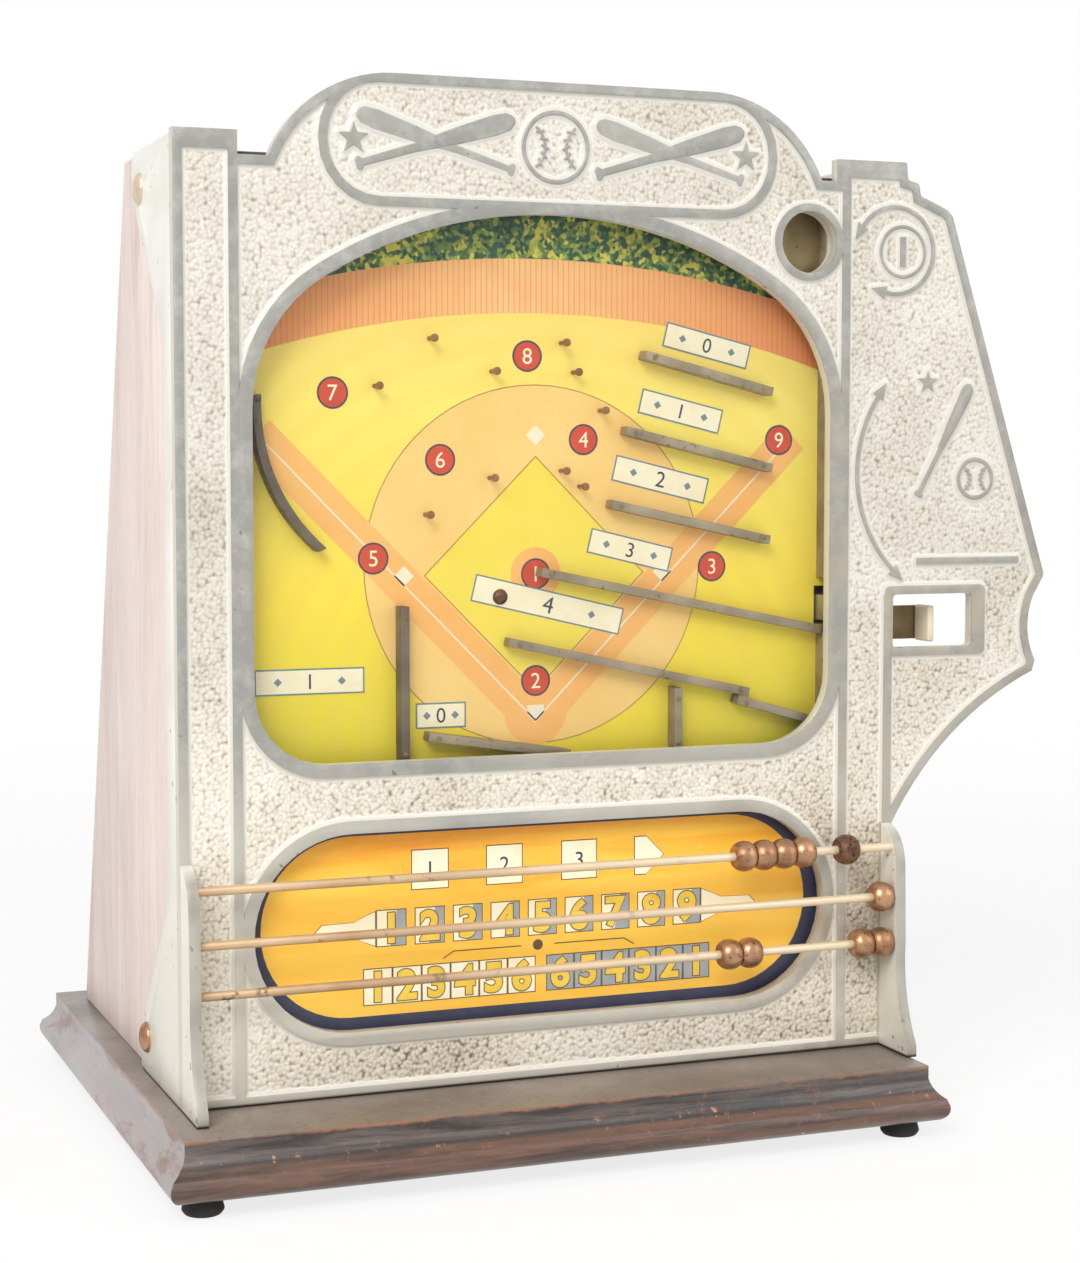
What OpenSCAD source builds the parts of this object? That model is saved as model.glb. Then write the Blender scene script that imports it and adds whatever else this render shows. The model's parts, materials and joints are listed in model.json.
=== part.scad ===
// Countertop penny baseball game: a cast front on a wooden case with a moulded plinth.
// Layout used below: X to the right from the plinth's middle, Y back from the face of the
// casting's raised borders, Z up from the table. in_frame() moves it to the middle of the base.

/* [Plinth] */
// Width of the plinth at its moulded edge
base_w = 360; // [345:1:380]
// Depth of the plinth at its moulded edge
base_d = 311; // [300:1:330]
// How far the plinth stands in front of the casting's face
base_front = 51; // [44:1:60]
// Thickness of the plinth board
base_h = 25; // [20:1:32]
// Inset of the plinth's flat top from its moulded edge
mould_inset = 7.5; // [4:0.5:9]
// Radius of the bullnose along the plinth's lower edge
bull_r = 6; // [4:0.5:8]
// Height of the upright fillet below the plinth's flat top
fillet_h = 6; // [3:0.5:8]
// Height of the rubber feet
foot_h = 8; // [5:0.5:14]
// Diameter of the rubber feet
foot_d = 18; // [14:1:24]
// Inset of the feet from the plinth's moulded edge
foot_inset = 8; // [6:0.5:14]

/* [Case] */
// Outer width of the case across the casting's side flanges
case_w = 339; // [330:1:350]
// How far the case sits right of the plinth's middle
case_shift = 6; // [0:0.5:10]
// Height of the pilaster caps above the plinth
case_h = 413; // [405:1:425]
// Drop from the pilaster caps to the top of the wooden sides
side_drop = 2; // [1.5:0.5:5]
// Drop from the tops of the wooden sides to the top board
roof_drop = 6; // [4:0.5:8]
// Thickness of the top board
roof_t = 10; // [8:0.5:12]
// Depth of the wooden sides at the top
top_depth = 112; // [98:1:120]
// Depth of the wooden sides at the bottom
bottom_depth = 234; // [222:1:236]
// Thickness of the wooden side boards
board_t = 12; // [9:0.5:13]
// Thickness of the back door
door_t = 10; // [8:0.5:12]

/* [Casting] */
// Thickness of the casting's pebbled ground
ground_t = 4; // [3:0.5:6]
// Height of the raised borders above the ground
relief = 2; // [1:0.25:3]
// Width of the raised borders
border_w = 4; // [3:0.25:5]
// Height of the wider borders across the tops of the pilasters
cap_border = 8; // [5:0.5:10]
// Thickness of the side flanges over the wood
flange_t = 3; // [2:0.5:4]
// Thickness of the free cheeks that carry the wires
cheek_t = 5; // [4:0.5:7]
// Height of the header arch above the pilaster caps
header_rise = 27; // [20:1:34]
// Radius of the coin hole
coin_r = 14; // [12:0.5:15]
// How far the lever wing stands out beyond the case
wing_reach = 82.5; // [76:0.5:90]

/* [Windows] */
// Distance from the case's side to the playfield window
window_side = 33; // [33:0.5:38]
// Rise of the playfield window's arched top
window_b = 86; // [80:1:88]
// Height of the score window
score_h = 87; // [80:1:90]
// Distance from the case's side to the score window
score_side = 33.5; // [32:0.5:40]
// Thickness of the glass
glass_t = 3; // [2:0.25:3]

/* [Playfield] */
// Space between the glass and the printed sheet
play_gap = 8.5; // [7:0.25:10]
// Thickness of the playfield board
field_t = 7; // [5:0.5:9]
// Thickness of the rails
rail_t = 4; // [3:0.25:5]
// Bow of the curved rail from its straight line
curve_bow = 8.5; // [4:0.5:12]
// Radius of the field pins
pin_r = 1; // [0.75:0.05:1.4]

/* [Counting wires] */
// Diameter of the wires
wire_d = 4; // [2.8:0.1:4.4]
// Distance of the wires in front of the casting's face
wire_out = 10; // [9:0.5:11]
// Diameter of the beads
bead_d = 14; // [11:0.5:15]
// Length of the beads along the wire
bead_l = 9.6; // [8:0.2:9.8]

/* [Bat lever] */
// Thickness of the lever strip
lever_t = 2.5; // [2:0.25:3]
// Height of the lever strip
lever_h = 16; // [12:0.5:17]
// Radius of the pivot pin
pivot_r = 3; // [2:0.25:4]

/* [Clearances] */
// Radial clearance of beads, pins and pivots
run_gap = 0.08; // [0.02:0.01:0.1]
// Clearance between moving faces
free_gap = 0.4; // [0.3:0.05:0.8]
// Clearance of the back door in its opening
door_gap = 1; // [0.5:0.1:1.5]

/* [Hidden] */
$fn = 48;

// Heights
floor_z = foot_h + base_h;
cap_z = floor_z + case_h;
wood_z = cap_z - side_drop;
header_z = cap_z + header_rise;

// Left and right limits of the case
case_l = case_shift - case_w / 2;
case_r = case_shift + case_w / 2;
wood_l = case_l + flange_t;
wood_r = case_r - flange_t;
inner_l = wood_l + board_t;
inner_r = wood_r - board_t;
wing_r = case_r + wing_reach;

// Depths
plate_back = relief + ground_t;
plate_mid = relief + ground_t / 2;
glass_back = plate_back + glass_t;
sheet_t = 0.5;
sheet_y = glass_back + play_gap;
board_y = sheet_y + sheet_t;
board_back = board_y + field_t;
rail_y = glass_back + free_gap;

// Place of the whole part's frame
frame_x = (wing_r - base_w / 2) / 2;
frame_y = base_d / 2 - base_front;

// Windows and header
window_a = case_w / 2 - window_side;
window_x = case_shift;
window_z = cap_z - 116;
window_low = floor_z + 145.5;
window_side_r = 66;
window_corner_r = 32;
score_z = floor_z + 71.5;
score_x = case_shift - 1.5;
score_w = case_w - 2 * score_side;
coin_x = case_r - 44.5;
coin_z = cap_z - 38;
coin_ring = 3.5;
arch_r = 60;
arch_half = case_w / 2 - 95;
arch_x = case_shift + 1;
notch_z = cap_z - 10;
notch_in = 27.5;
slot_l = case_r + 0.5;
slot_r = wing_r - 39.5;
slot_z = floor_z + 188;
slot_h = 25;

// Counting wires
wire_z = [floor_z + 96, floor_z + 72.8, floor_z + 51.4];
cheek_h = 106;
cheek_out = 16;
toe_out = 27;
bead_pitch = bead_l + free_gap;
right_stop = case_r - cheek_t;
group_x = right_stop - 76;

// Lever
pivot_x = case_r - 38;
pivot_z = floor_z + 312;
lever_y = board_back + 1;
lever_back = lever_y + lever_t;
strip_z = slot_z + 2;
tab_x = slot_r - 14;
tab_front = 12;
arm_w = 14;
eye_r = 10;
paddle_w = 3.5;
paddle_h = 12;
lane_x = inner_r - 16;
peg_x = pivot_x - 26;
peg_r = 1.5;
peg_l = 7;
post_z = pivot_z + 55;
spring_r = 3.2;
spring_y = lever_back + 0.6 + spring_r;

// Back door, in its own sloping frame: Z up the slope, Y outwards from its outer face
door_run = bottom_depth - top_depth;
door_rise = wood_z - floor_z;
door_a = atan2(door_run, door_rise);
door_l = sqrt(pow(door_run, 2) + pow(door_rise, 2));
hinge_z = 6;
hinge_pin_r = 1.5;
knuckle_r = 3.2;
hinge_y = knuckle_r + free_gap;
hinge_w = 50;
hinge_places = [inner_l + 60, inner_r - 60];
leaf_t = 1.4;
lock_z = door_l - 60;
lock_x = case_shift;
lock_r = 8;
rail_gap = 1;
rear_rail_t = 16;
cam_t = 2;
cam_l = 26;

// Points along an arc about centre c from angle a to b
function arc(c, r, a, b, n = 12) =
    [for (i = [0:n]) let (t = a + (b - a) * i / n) [c[0] + r * cos(t), c[1] + r * sin(t)]];

// Points along a bowed line from p to q whose middle rises by h to the left of its direction
function bow(p, q, h, n = 10) =
    let (d = q - p, nrm = [-d[1], d[0]] / norm(d))
    [for (i = [0:n]) let (s = i / n) p + d * s + nrm * (4 * h * s * (1 - s))];

// One corner [x, y, radius] between its neighbours a and c, as the points of its arc
function corner(a, p, c, n = 6) =
    let (b = [p[0], p[1]], r = p[2], u = (a - b) / norm(a - b), v = (c - b) / norm(c - b),
        half = acos(max(-1, min(1, u * v))) / 2,
        o = b + (u + v) / max(norm(u + v), 0.001) * (r / max(sin(half), 0.001)),
        s = b + u * (r / max(tan(half), 0.001)) - o,
        e = b + v * (r / max(tan(half), 0.001)) - o,
        a0 = atan2(s[1], s[0]),
        turn = atan2(s[0] * e[1] - s[1] * e[0], s * e))
    r == 0 ? [b] : [for (k = [0:n]) o + r * [cos(a0 + turn * k / n), sin(a0 + turn * k / n)]];

function flat(p) = [p[0], p[1]];

// A closed outline given as corners [x, y, radius]
function rounded(p) =
    let (m = len(p))
    [for (i = [0:m - 1]) each corner(flat(p[(i + m - 1) % m]), p[i], flat(p[(i + 1) % m]))];

// An open run of corners between the points before and after it
function rounded_run(p, before, after) =
    let (m = len(p))
    [for (i = [0:m - 1])
        each corner(i == 0 ? before : flat(p[i - 1]), p[i], i == m - 1 ? after : flat(p[i + 1]))];

// The same closed outline moved inwards by d (outwards if negative); points run anticlockwise
function inset(p, d) =
    let (m = len(p))
    [for (i = [0:m - 1])
        let (a = p[(i + m - 1) % m], b = p[i], c = p[(i + 1) % m],
            u = (b - a) / norm(b - a), v = (c - b) / norm(c - b),
            n1 = [-u[1], u[0]], n2 = [-v[1], v[0]])
        b + (n1 + n2) * (d / (1 + n1 * n2))];

// A rectangle with one corner radius, as points
function block(x0, z0, x1, z1, r) =
    rounded([[x0, z0, r], [x1, z0, r], [x1, z1, r], [x0, z1, r]]);

module in_frame() {
    translate([-frame_x, -frame_y, 0])
        children();
}

// Extrudes a front-view outline from depth y0 back to depth y1
module slab(y0, y1) {
    translate([0, y1, 0])
        rotate([90, 0, 0])
            linear_extrude(y1 - y0)
                children();
}

// Extrudes a side-view outline, Y then Z, from x0 to x1
module board(x0, x1) {
    translate([x0, 0, 0])
        rotate([90, 0, 90])
            linear_extrude(x1 - x0)
                children();
}

// A round bar from depth y0 to y1
module bar_y(x, z, r, y0, y1) {
    translate([x, y1, z])
        rotate([90, 0, 0])
            cylinder(r = r, h = y1 - y0);
}

// A round bar from x0 to x1
module bar_x(y, z, r, x0, x1) {
    translate([x0, y, z])
        rotate([0, 90, 0])
            cylinder(r = r, h = x1 - x0);
}

module in_door() {
    translate([0, bottom_depth, floor_z])
        rotate([door_a, 0, 0])
            children();
}

// Half of the plinth's edge profile, from the underside to the flat top: bullnose, cove and fillet
function mould(w) = concat(
    arc([w - bull_r, foot_h + bull_r], bull_r, -90, 30, 8),
    bow([w - 1.2, foot_h + 1.7 * bull_r], [w - mould_inset, floor_z - fillet_h], 1.1, 6),
    [[w - mould_inset, floor_z]]);

module mould_section(w) {
    edge = mould(w);
    polygon(concat(edge, [for (i = [len(edge) - 1:-1:0]) [-edge[i][0], edge[i][1]]]));
}

module plinth() {
    color("#4b332a")
        in_frame()
            difference() {
                translate([0, frame_y, 0])
                    intersection() {
                        translate([0, base_d / 2, 0])
                            rotate([90, 0, 0])
                                linear_extrude(base_d)
                                    mould_section(base_w / 2);
                        translate([-base_w / 2, 0, 0])
                            rotate([90, 0, 90])
                                linear_extrude(base_w)
                                    mould_section(base_d / 2);
                    }
                at_feet()
                    cylinder(r = 2, h = foot_h + 12);
            }
}

module at_feet() {
    inset_x = base_w / 2 - foot_d / 2 - foot_inset;
    inset_y = base_d / 2 - foot_d / 2 - foot_inset;
    for (sx = [-1, 1], sy = [-1, 1])
        translate([sx * inset_x, frame_y + sy * inset_y, 0])
            children();
}

module feet() {
    color("#1d1c1b")
        in_frame()
            at_feet()
                rotate_extrude()
                    polygon([[2, 3], [5, 3], [5, 0], [foot_d / 2 - 1.5, 0], [foot_d / 2, 2],
                        [foot_d / 2 - 1.5, foot_h], [2, foot_h]]);
}

module foot_screws() {
    color("#8c8478")
        in_frame()
            at_feet()
                rotate_extrude()
                    polygon([[0, 1], [4, 1], [4, 3], [1.95, 3], [1.95, foot_h + 11], [0, foot_h + 12]]);
}

// Outline of a wooden side, Y then Z
function side_outline() =
    [[plate_back, floor_z], [bottom_depth, floor_z], [top_depth, wood_z], [plate_back, wood_z]];

module left_side() {
    color("#7d5348")
        in_frame()
            board(wood_l, inner_l)
                polygon(side_outline());
}

module right_side() {
    color("#7d5348")
        in_frame()
            difference() {
                board(inner_r, wood_r)
                    polygon(side_outline());
                translate([inner_r - 1, lever_y - 1.5, strip_z - 2])
                    cube([board_t + 2, lever_t + 3, lever_h + 7]);
            }
}

module top_board() {
    rear = top_depth - door_t / cos(door_a) - door_gap;
    color("#5a3d33")
        in_frame()
            translate([inner_l, plate_back, field_top])
                cube([inner_r - inner_l, rear - plate_back, roof_t]);
}

module rear_rail() {
    color("#6b473c")
        in_frame()
            in_door()
                translate([inner_l, -door_t - rail_gap - rear_rail_t, door_l - 46])
                    cube([inner_r - inner_l, rear_rail_t, 20]);
}

// Outline of the casting seen from the front, anticlockwise from the lower left. soft 0 leaves its
// small corners sharp
function casting_outline(soft = 1) = concat(
    [[case_l, floor_z], [case_r, floor_z]],
    bow([case_r, floor_z + cheek_h - 2], [wing_r - 6, floor_z + 175], 9, 14),
    bow([wing_r - 4.5, floor_z + 180], [wing_r - 6, floor_z + 211], 3.5, 8),
    rounded_run([[wing_r, floor_z + 221, 3 * soft], [wing_r - 53, floor_z + 391, 8],
        [case_r + 13, cap_z - 15, 1.5 * soft], [case_r + 12, cap_z - 9.5, 1.5 * soft],
        [case_r + 6, cap_z - 8, 2 * soft], [case_r + 5.5, cap_z, soft]],
        [wing_r - 6, floor_z + 211], [case_r - notch_in - 3, cap_z]),
    [[case_r - notch_in - 3, cap_z], [case_r - notch_in - 3, notch_z]],
    arc([arch_x + arch_half, header_z - arch_r], arch_r, asin((notch_z - header_z + arch_r) / arch_r),
        90, 14),
    arc([arch_x - arch_half, header_z - arch_r], arch_r, 90,
        180 - asin((notch_z - header_z + arch_r) / arch_r), 14),
    [[case_l + notch_in, notch_z], [case_l + notch_in, cap_z], [case_l, cap_z]]);

// Playfield window grown outwards by g: an arched top of three radii and round lower corners
function window_outline(g = 0) =
    let (a = window_a + g, b = window_b + g, s = window_side_r + g,
        top_r = (a * a - 2 * a * s + b * b) / (2 * (b - s)),
        meet = atan2(top_r - b, a - s), low = window_low - g, c = window_corner_r + g)
    concat(
        arc([window_x + a - c, low + c], c, -90, 0, 10),
        arc([window_x + a - s, window_z], s, 0, meet, 8),
        arc([window_x, window_z + b - top_r], top_r, meet, 180 - meet, 30),
        arc([window_x - a + s, window_z], s, 180 - meet, 180, 8),
        arc([window_x - a + c, low + c], c, 180, 270, 10));

// Score window grown outwards by g
function score_outline(g = 0) =
    let (r = score_h / 2 + g, h = score_w / 2 - score_h / 2)
    concat(arc([score_x + h, score_z], r, -90, 90, 24), arc([score_x - h, score_z], r, 90, 270, 24));

// Header panel grown outwards by g
function header_panel(g = 0) =
    block(arch_x - arch_half - 29.5 - g, cap_z - 25 - g, arch_x + arch_half + 28.5 + g,
        header_z - border_w + g, 23 + g);

// Side flange on the wood with its two screw lobes, Y then Z
function flange_outline() = rounded([
    [plate_mid, floor_z, 0], [82, floor_z, 4], [84, floor_z + 14, 8], [74, floor_z + 28, 10],
    [30, floor_z + 78, 14], [22, floor_z + 120, 30], [19, cap_z - 104, 40], [20, cap_z - 86, 16],
    [72, cap_z - 31, 16], [82, cap_z - 9, 5], [77, wood_z, 2], [plate_mid, wood_z, 0]]);

// Free cheek in front of the plate, Y then Z
function cheek_outline() = concat(
    [[plate_mid, floor_z], [plate_mid, floor_z + cheek_h]],
    bow([0, floor_z + cheek_h], [-cheek_out + 1, floor_z + 88], -4, 8),
    bow([-cheek_out, floor_z + 52], [-toe_out, floor_z + 5], 4, 8),
    [[-toe_out, floor_z]]);

// The lever window grown outwards by g
function slot_outline(g = 0, right = 0) =
    block(slot_l - g, slot_z - g, slot_r + g + right, slot_z + slot_h + g, 2 + g / 4);

module casting_plate() {
    slab(0, plate_back)
        difference() {
            polygon(casting_outline());
            polygon(window_outline());
            polygon(score_outline());
            polygon(slot_outline());
        }
}

// An arc with an arrow head at each end
module curved_arrow(c, r, a, b) {
    half = 0.9;
    head = 3;
    polygon(concat(arc(c, r + half, a, b, 20), arc(c, r - half, b, a, 20)));
    for (e = [[a, -1], [b, 1]])
        translate([c[0] + r * cos(e[0]), c[1] + r * sin(e[0])])
            rotate(e[0])
                polygon([[-head, -0.2 * e[1]], [head, -0.2 * e[1]], [0, 2.4 * head * e[1]]]);
}

// The pebbled ground: what lies between the raised borders
module ground_pockets() {
    difference() {
        polygon(inset(casting_outline(0), border_w));
        polygon(header_panel(border_w));
        polygon(window_outline(border_w + 2));
        polygon(score_outline(border_w + 1.5));
        polygon(slot_outline(border_w, 3));
        translate([coin_x, coin_z])
            circle(r = coin_r + coin_ring);
        // pilaster caps and rails
        for (c = [[case_l, notch_in], [case_r - notch_in, notch_in + 5]])
            translate([c[0], cap_z - cap_border])
                square([c[1], cap_border]);
        for (x = [case_l + notch_in - border_w, case_r - notch_in])
            translate([x, floor_z])
                square([border_w, case_h]);
        translate([case_r - border_w, floor_z])
            square([border_w, slot_z + slot_h - floor_z]);
        // bar above the lever window and the two arrows
        translate([case_r + 13, floor_z + 227])
            square([wing_reach - 27.5, 3]);
        curved_arrow([case_r, coin_z - 2.5], 20, -105, 148);
        curved_arrow([case_r + 44, floor_z + 270], 63, 146, 226);
    }
    polygon(header_panel());
}

module front_casting() {
    color("#c9c5ba")
        in_frame()
            difference() {
                union() {
                    difference() {
                        casting_plate();
                        slab(-1, relief)
                            ground_pockets();
                    }
                    // throat behind the coin hole
                    bar_y(coin_x, coin_z, coin_r + coin_ring, plate_mid, rail_y);
                    // side flanges and cheeks
                    board(case_l, wood_l)
                        polygon(flange_outline());
                    board(wood_r, case_r)
                        polygon(flange_outline());
                    board(case_l, case_l + cheek_t)
                        polygon(cheek_outline());
                    board(right_stop, case_r)
                        polygon(cheek_outline());
                    at_clips()
                        bar_y(0, 0, 3, plate_mid, glass_back);
                }
                bar_y(coin_x, coin_z, coin_r, -1, rail_y + 1);
                for (z = wire_z)
                    bar_x(-wire_out, z, wire_d / 2, case_l + 1, case_r - 1);
                at_flange_screws(upper_screw)
                    cylinder(r = 2, h = board_t, center = true);
                at_flange_screws(lower_screw)
                    cylinder(r = 2, h = board_t, center = true);
                at_clips()
                    bar_y(0, 0, 1.5, plate_mid + 0.5, glass_back + 1);
            }
}

// Places of the flange screws, Y then Z
upper_screw = [66, cap_z - 19];
lower_screw = [70, floor_z + 17];

module at_flange_screws(p) {
    for (side = [[case_l, -90], [case_r, 90]])
        translate([side[0], p[0], p[1]])
            rotate([0, side[1], 0])
                children();
}

// A round-head screw whose head seats at Z 0
module dome_screw(r, head_r, head_h, l) {
    difference() {
        rotate_extrude()
            polygon(concat([[0, -l], [r, -l + r], [r, 0]],
                [for (t = [0:15:90]) [head_r * cos(t), head_h * sin(t)]]));
        translate([-head_r, -0.6, head_h - 1])
            cube([2 * head_r, 1.2, 2]);
    }
}

module upper_flange_screws() {
    color("#b79a5b")
        in_frame()
            at_flange_screws(upper_screw)
                dome_screw(1.95, 7.2, 2.8, flange_t - 0.2);
}

module lower_flange_screws() {
    color("#9a6a4d")
        in_frame()
            at_flange_screws(lower_screw)
                dome_screw(1.95, 7, 3.5, flange_t - 0.2);
}

// Glass outline: the upper right corner is cut off beside the coin throat
glass_l = window_x - window_a - 8;
glass_r = window_x + window_a + 6;
glass_low = window_low - 6;
glass_top = window_z + window_b + 7;
glass_cut = coin_x + coin_z - 36;

module main_glass() {
    color("#cfe3e0", 0.3)
        in_frame()
            slab(plate_back, glass_back)
                polygon([[glass_l, glass_low], [glass_r, glass_low], [glass_r, glass_cut - glass_r],
                    [glass_cut - glass_top, glass_top], [glass_l, glass_top]]);
}

clip_w = 12;

module at_clips() {
    for (p = [[glass_l - 4.5, window_low + 60], [glass_l - 4.5, window_z + 20]])
        translate([p[0], 0, p[1]])
            children();
}

module glass_clips() {
    color("#9c9a90")
        in_frame()
            difference() {
                at_clips()
                    translate([-4.2, glass_back, -clip_w / 2])
                        cube([clip_w, 1, clip_w]);
                at_clips()
                    bar_y(0, 0, 1.5, plate_back, glass_back + 2);
            }
}

module clip_screws() {
    color("#8f8a80")
        in_frame()
            at_clips()
                translate([0, glass_back + 1, 0])
                    rotate([-90, 0, 0])
                        dome_screw(1.45, 3, 1.8, glass_t + 1.5);
}

field_low = window_low - 4.5;
field_top = wood_z - roof_drop - roof_t;

// Slot that the paddle swings in
module paddle_slot(y0, y1) {
    translate([lane_x - 1, y0, strip_z + lever_h - paddle_h + 5])
        cube([inner_r - lane_x + 0.4, y1 - y0, paddle_h + 6]);
}

module playfield_board() {
    color("#b08b5c")
        in_frame()
            difference() {
                translate([inner_l, board_y, field_low])
                    cube([inner_r - inner_l, field_t, field_top - field_low]);
                paddle_slot(board_y - 1, board_back + 1);
                bar_y(pivot_x, pivot_z, pivot_r, board_y + 2, board_back + 1);
                bar_y(peg_x, post_z, 2, board_y + 2, board_back + 1);
            }
}

module playfield_sheet() {
    color("#f5d860")
        in_frame()
            difference() {
                translate([inner_l, sheet_y, field_low])
                    cube([inner_r - inner_l, sheet_t, field_top - field_low]);
                paddle_slot(sheet_y - 1, board_y + 1);
                at_pins()
                    bar_y(0, 0, pin_r, sheet_y - 1, board_y + 1);
            }
}

cleat_w = 12;

// The right cleat is broken where the lever swings
module board_cleats() {
    low = field_low + 6;
    high = field_top - 4;
    color("#8a6446")
        in_frame()
            for (c = [[inner_l, low, high], [inner_r - cleat_w, low, strip_z - 18],
                    [inner_r - cleat_w, pivot_z - 12, high]])
                translate([c[0], board_back, c[1]])
                    cube([cleat_w, cleat_w, c[2] - c[1]]);
}

// A point of the playfield, as shares of its width and height from the lower left
function on_field(u, v) =
    [inner_l + u * (inner_r - inner_l), field_low + v * (field_top - field_low)];

// A point at the lane wall, v up the playfield
function at_lane(v) = [lane_x - 1, on_field(0, v)[1]];

// A rail between two points of the playfield, standing on the sheet
module rail(p, q) {
    d = q - p;
    color("#7a6a58")
        in_frame()
            translate([p[0], rail_y, p[1]])
                rotate([0, -atan2(d[1], d[0]), 0])
                    translate([0, 0, -rail_t / 2])
                        cube([norm(d), sheet_y - rail_y, rail_t]);
}

module strike_rail() {
    rail(on_field(0.654, 0.717), on_field(0.861, 0.654));
}

module single_rail() {
    rail(on_field(0.625, 0.583), on_field(0.861, 0.516));
}

module double_rail() {
    rail(on_field(0.602, 0.453), on_field(0.858, 0.386));
}

module triple_rail() {
    rail(on_field(0.492, 0.335), at_lane(0.22));
}

module home_rail() {
    rail(on_field(0.443, 0.213), on_field(0.825, 0.11));
}

module home_step_rail() {
    rail(on_field(0.806, 0.097), at_lane(0.049));
}

module out_rail() {
    rail(on_field(0.32, 0.053), on_field(0.537, 0.012));
}

module left_fence() {
    rail(on_field(0.285, 0.004), on_field(0.285, 0.28));
}

module right_fence() {
    rail(on_field(0.709, 0.004), on_field(0.709, 0.122));
}

module curved_rail() {
    upper = on_field(0.079, 0.642);
    lower = on_field(0.171, 0.382);
    run = lower - upper;
    across = [run[1], -run[0]] / norm(run) * rail_t;
    path = bow(upper, lower, -curve_bow, 16);
    color("#7a6a58")
        in_frame()
            slab(rail_y, sheet_y)
                polygon(concat(path, [for (i = [len(path) - 1:-1:0]) path[i] + across]));
}

module lane_wall() {
    // the coin lane's outer wall, broken where the paddle passes
    gap_low = strip_z + lever_h - paddle_h + 3;
    color("#8d7658")
        in_frame()
            for (c = [[field_low + 1, gap_low], [gap_low + paddle_h + 12, field_top - 1]])
                translate([lane_x, rail_y, c[0]])
                    cube([rail_t - 1, sheet_y - rail_y, c[1] - c[0]]);
}

// Field pins from the window's middle, as shares of its half width and of its arch's rise
pin_places = [[-0.384, 0.372], [0.07, 0.36], [-0.172, 0.209], [0.113, 0.209], [-0.568, 0.128],
    [0.208, 0.012], [-0.179, -0.337], [0.07, -0.302], [0.136, -0.384], [-0.399, -0.523]];

module at_pins() {
    for (p = pin_places)
        translate([window_x + p[0] * window_a, 0, window_z + p[1] * window_b])
            children();
}

module field_pins() {
    color("#8a5a38")
        in_frame()
            at_pins() {
                bar_y(0, 0, pin_r, rail_y, board_y);
                bar_y(0, 0, pin_r + 0.8, rail_y, rail_y + 1);
            }
}

card_y = plate_back + 3.5;
card_t = 0.8;
score_back = card_y + card_t;

module score_card() {
    color("#f7b93c")
        in_frame()
            slab(card_y, score_back)
                polygon(score_outline(5));
}

module score_backboard() {
    top = score_z + score_h / 2 + 4;
    color("#8a6446")
        in_frame()
            board(inner_l, inner_r)
                polygon([[score_back, floor_z], [score_back + 8, floor_z], [score_back + 8, top - 8],
                    [score_back, top]]);
}

module wire(i) {
    color("#b39a74")
        in_frame()
            bar_x(-wire_out, wire_z[i], wire_d / 2, case_l + 1, case_r - 1);
}

module wire_top() {
    wire(0);
}

module wire_middle() {
    wire(1);
}

module wire_bottom() {
    wire(2);
}

// A bead on wire i with its middle at x: a rounded barrel with a running bore
module bead(i, x, tint) {
    bore = wire_d / 2 + run_gap;
    color(tint)
        in_frame()
            translate([x, -wire_out, wire_z[i]])
                rotate([0, 90, 0])
                    rotate_extrude()
                        polygon(concat([[bore, -bead_l / 2]],
                            [for (t = [-60:15:60]) [bead_d / 2 - 4 + 4 * cos(t),
                                bead_l / 2 * sin(t) / sin(60)]],
                            [[bore, bead_l / 2]]));
}

copper = "#a9735a";

module bead_top_1() {
    bead(0, group_x, copper);
}

module bead_top_2() {
    bead(0, group_x + bead_pitch, copper);
}

module bead_top_3() {
    bead(0, group_x + 2 * bead_pitch, copper);
}

module bead_top_4() {
    bead(0, group_x + 3 * bead_pitch, copper);
}

module bead_top_5() {
    bead(0, right_stop - 23.5, "#5c4336");
}

module bead_middle() {
    bead(1, right_stop - free_gap - bead_l / 2, copper);
}

module bead_bottom_1() {
    bead(2, group_x - 7, copper);
}

module bead_bottom_2() {
    bead(2, group_x - 7 + bead_pitch, copper);
}

module bead_bottom_3() {
    bead(2, right_stop - 2 * free_gap - bead_l * 1.5, copper);
}

module bead_bottom_4() {
    bead(2, right_stop - free_gap - bead_l / 2, copper);
}

module bat_lever() {
    color("#8a7448")
        in_frame()
            difference() {
                union() {
                    bar_y(pivot_x, pivot_z, eye_r, lever_y, lever_back);
                    translate([pivot_x - arm_w / 2, lever_y, strip_z])
                        cube([arm_w, lever_t, pivot_z - strip_z]);
                    translate([pivot_x - arm_w / 2, lever_y, strip_z])
                        cube([tab_x - pivot_x + arm_w / 2, lever_t, lever_h]);
                    translate([tab_x - lever_t, tab_front, strip_z])
                        cube([lever_t, lever_back - tab_front, lever_h]);
                    translate([peg_x - 4, lever_y, pivot_z - 4])
                        cube([pivot_x - peg_x, lever_t, 8]);
                    bar_y(peg_x, pivot_z, peg_r, lever_y, lever_back + peg_l);
                }
                bar_y(pivot_x, pivot_z, pivot_r + run_gap, lever_y - 1, lever_back + 1);
            }
}

module bat_paddle() {
    color("#6f5c3c")
        in_frame()
            translate([lane_x, rail_y + 0.6, strip_z + lever_h - paddle_h + 7])
                cube([paddle_w, lever_y - rail_y - 0.6, paddle_h]);
}

bracket_y = lever_back + 1;
bracket_t = 2;

module pivot_pin() {
    color("#9b968b")
        in_frame() {
            bar_y(pivot_x, pivot_z, pivot_r, board_y + 2, bracket_y + bracket_t + 1);
            bar_y(pivot_x, pivot_z, pivot_r + 2, board_back, lever_y - 0.3);
        }
}

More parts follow.
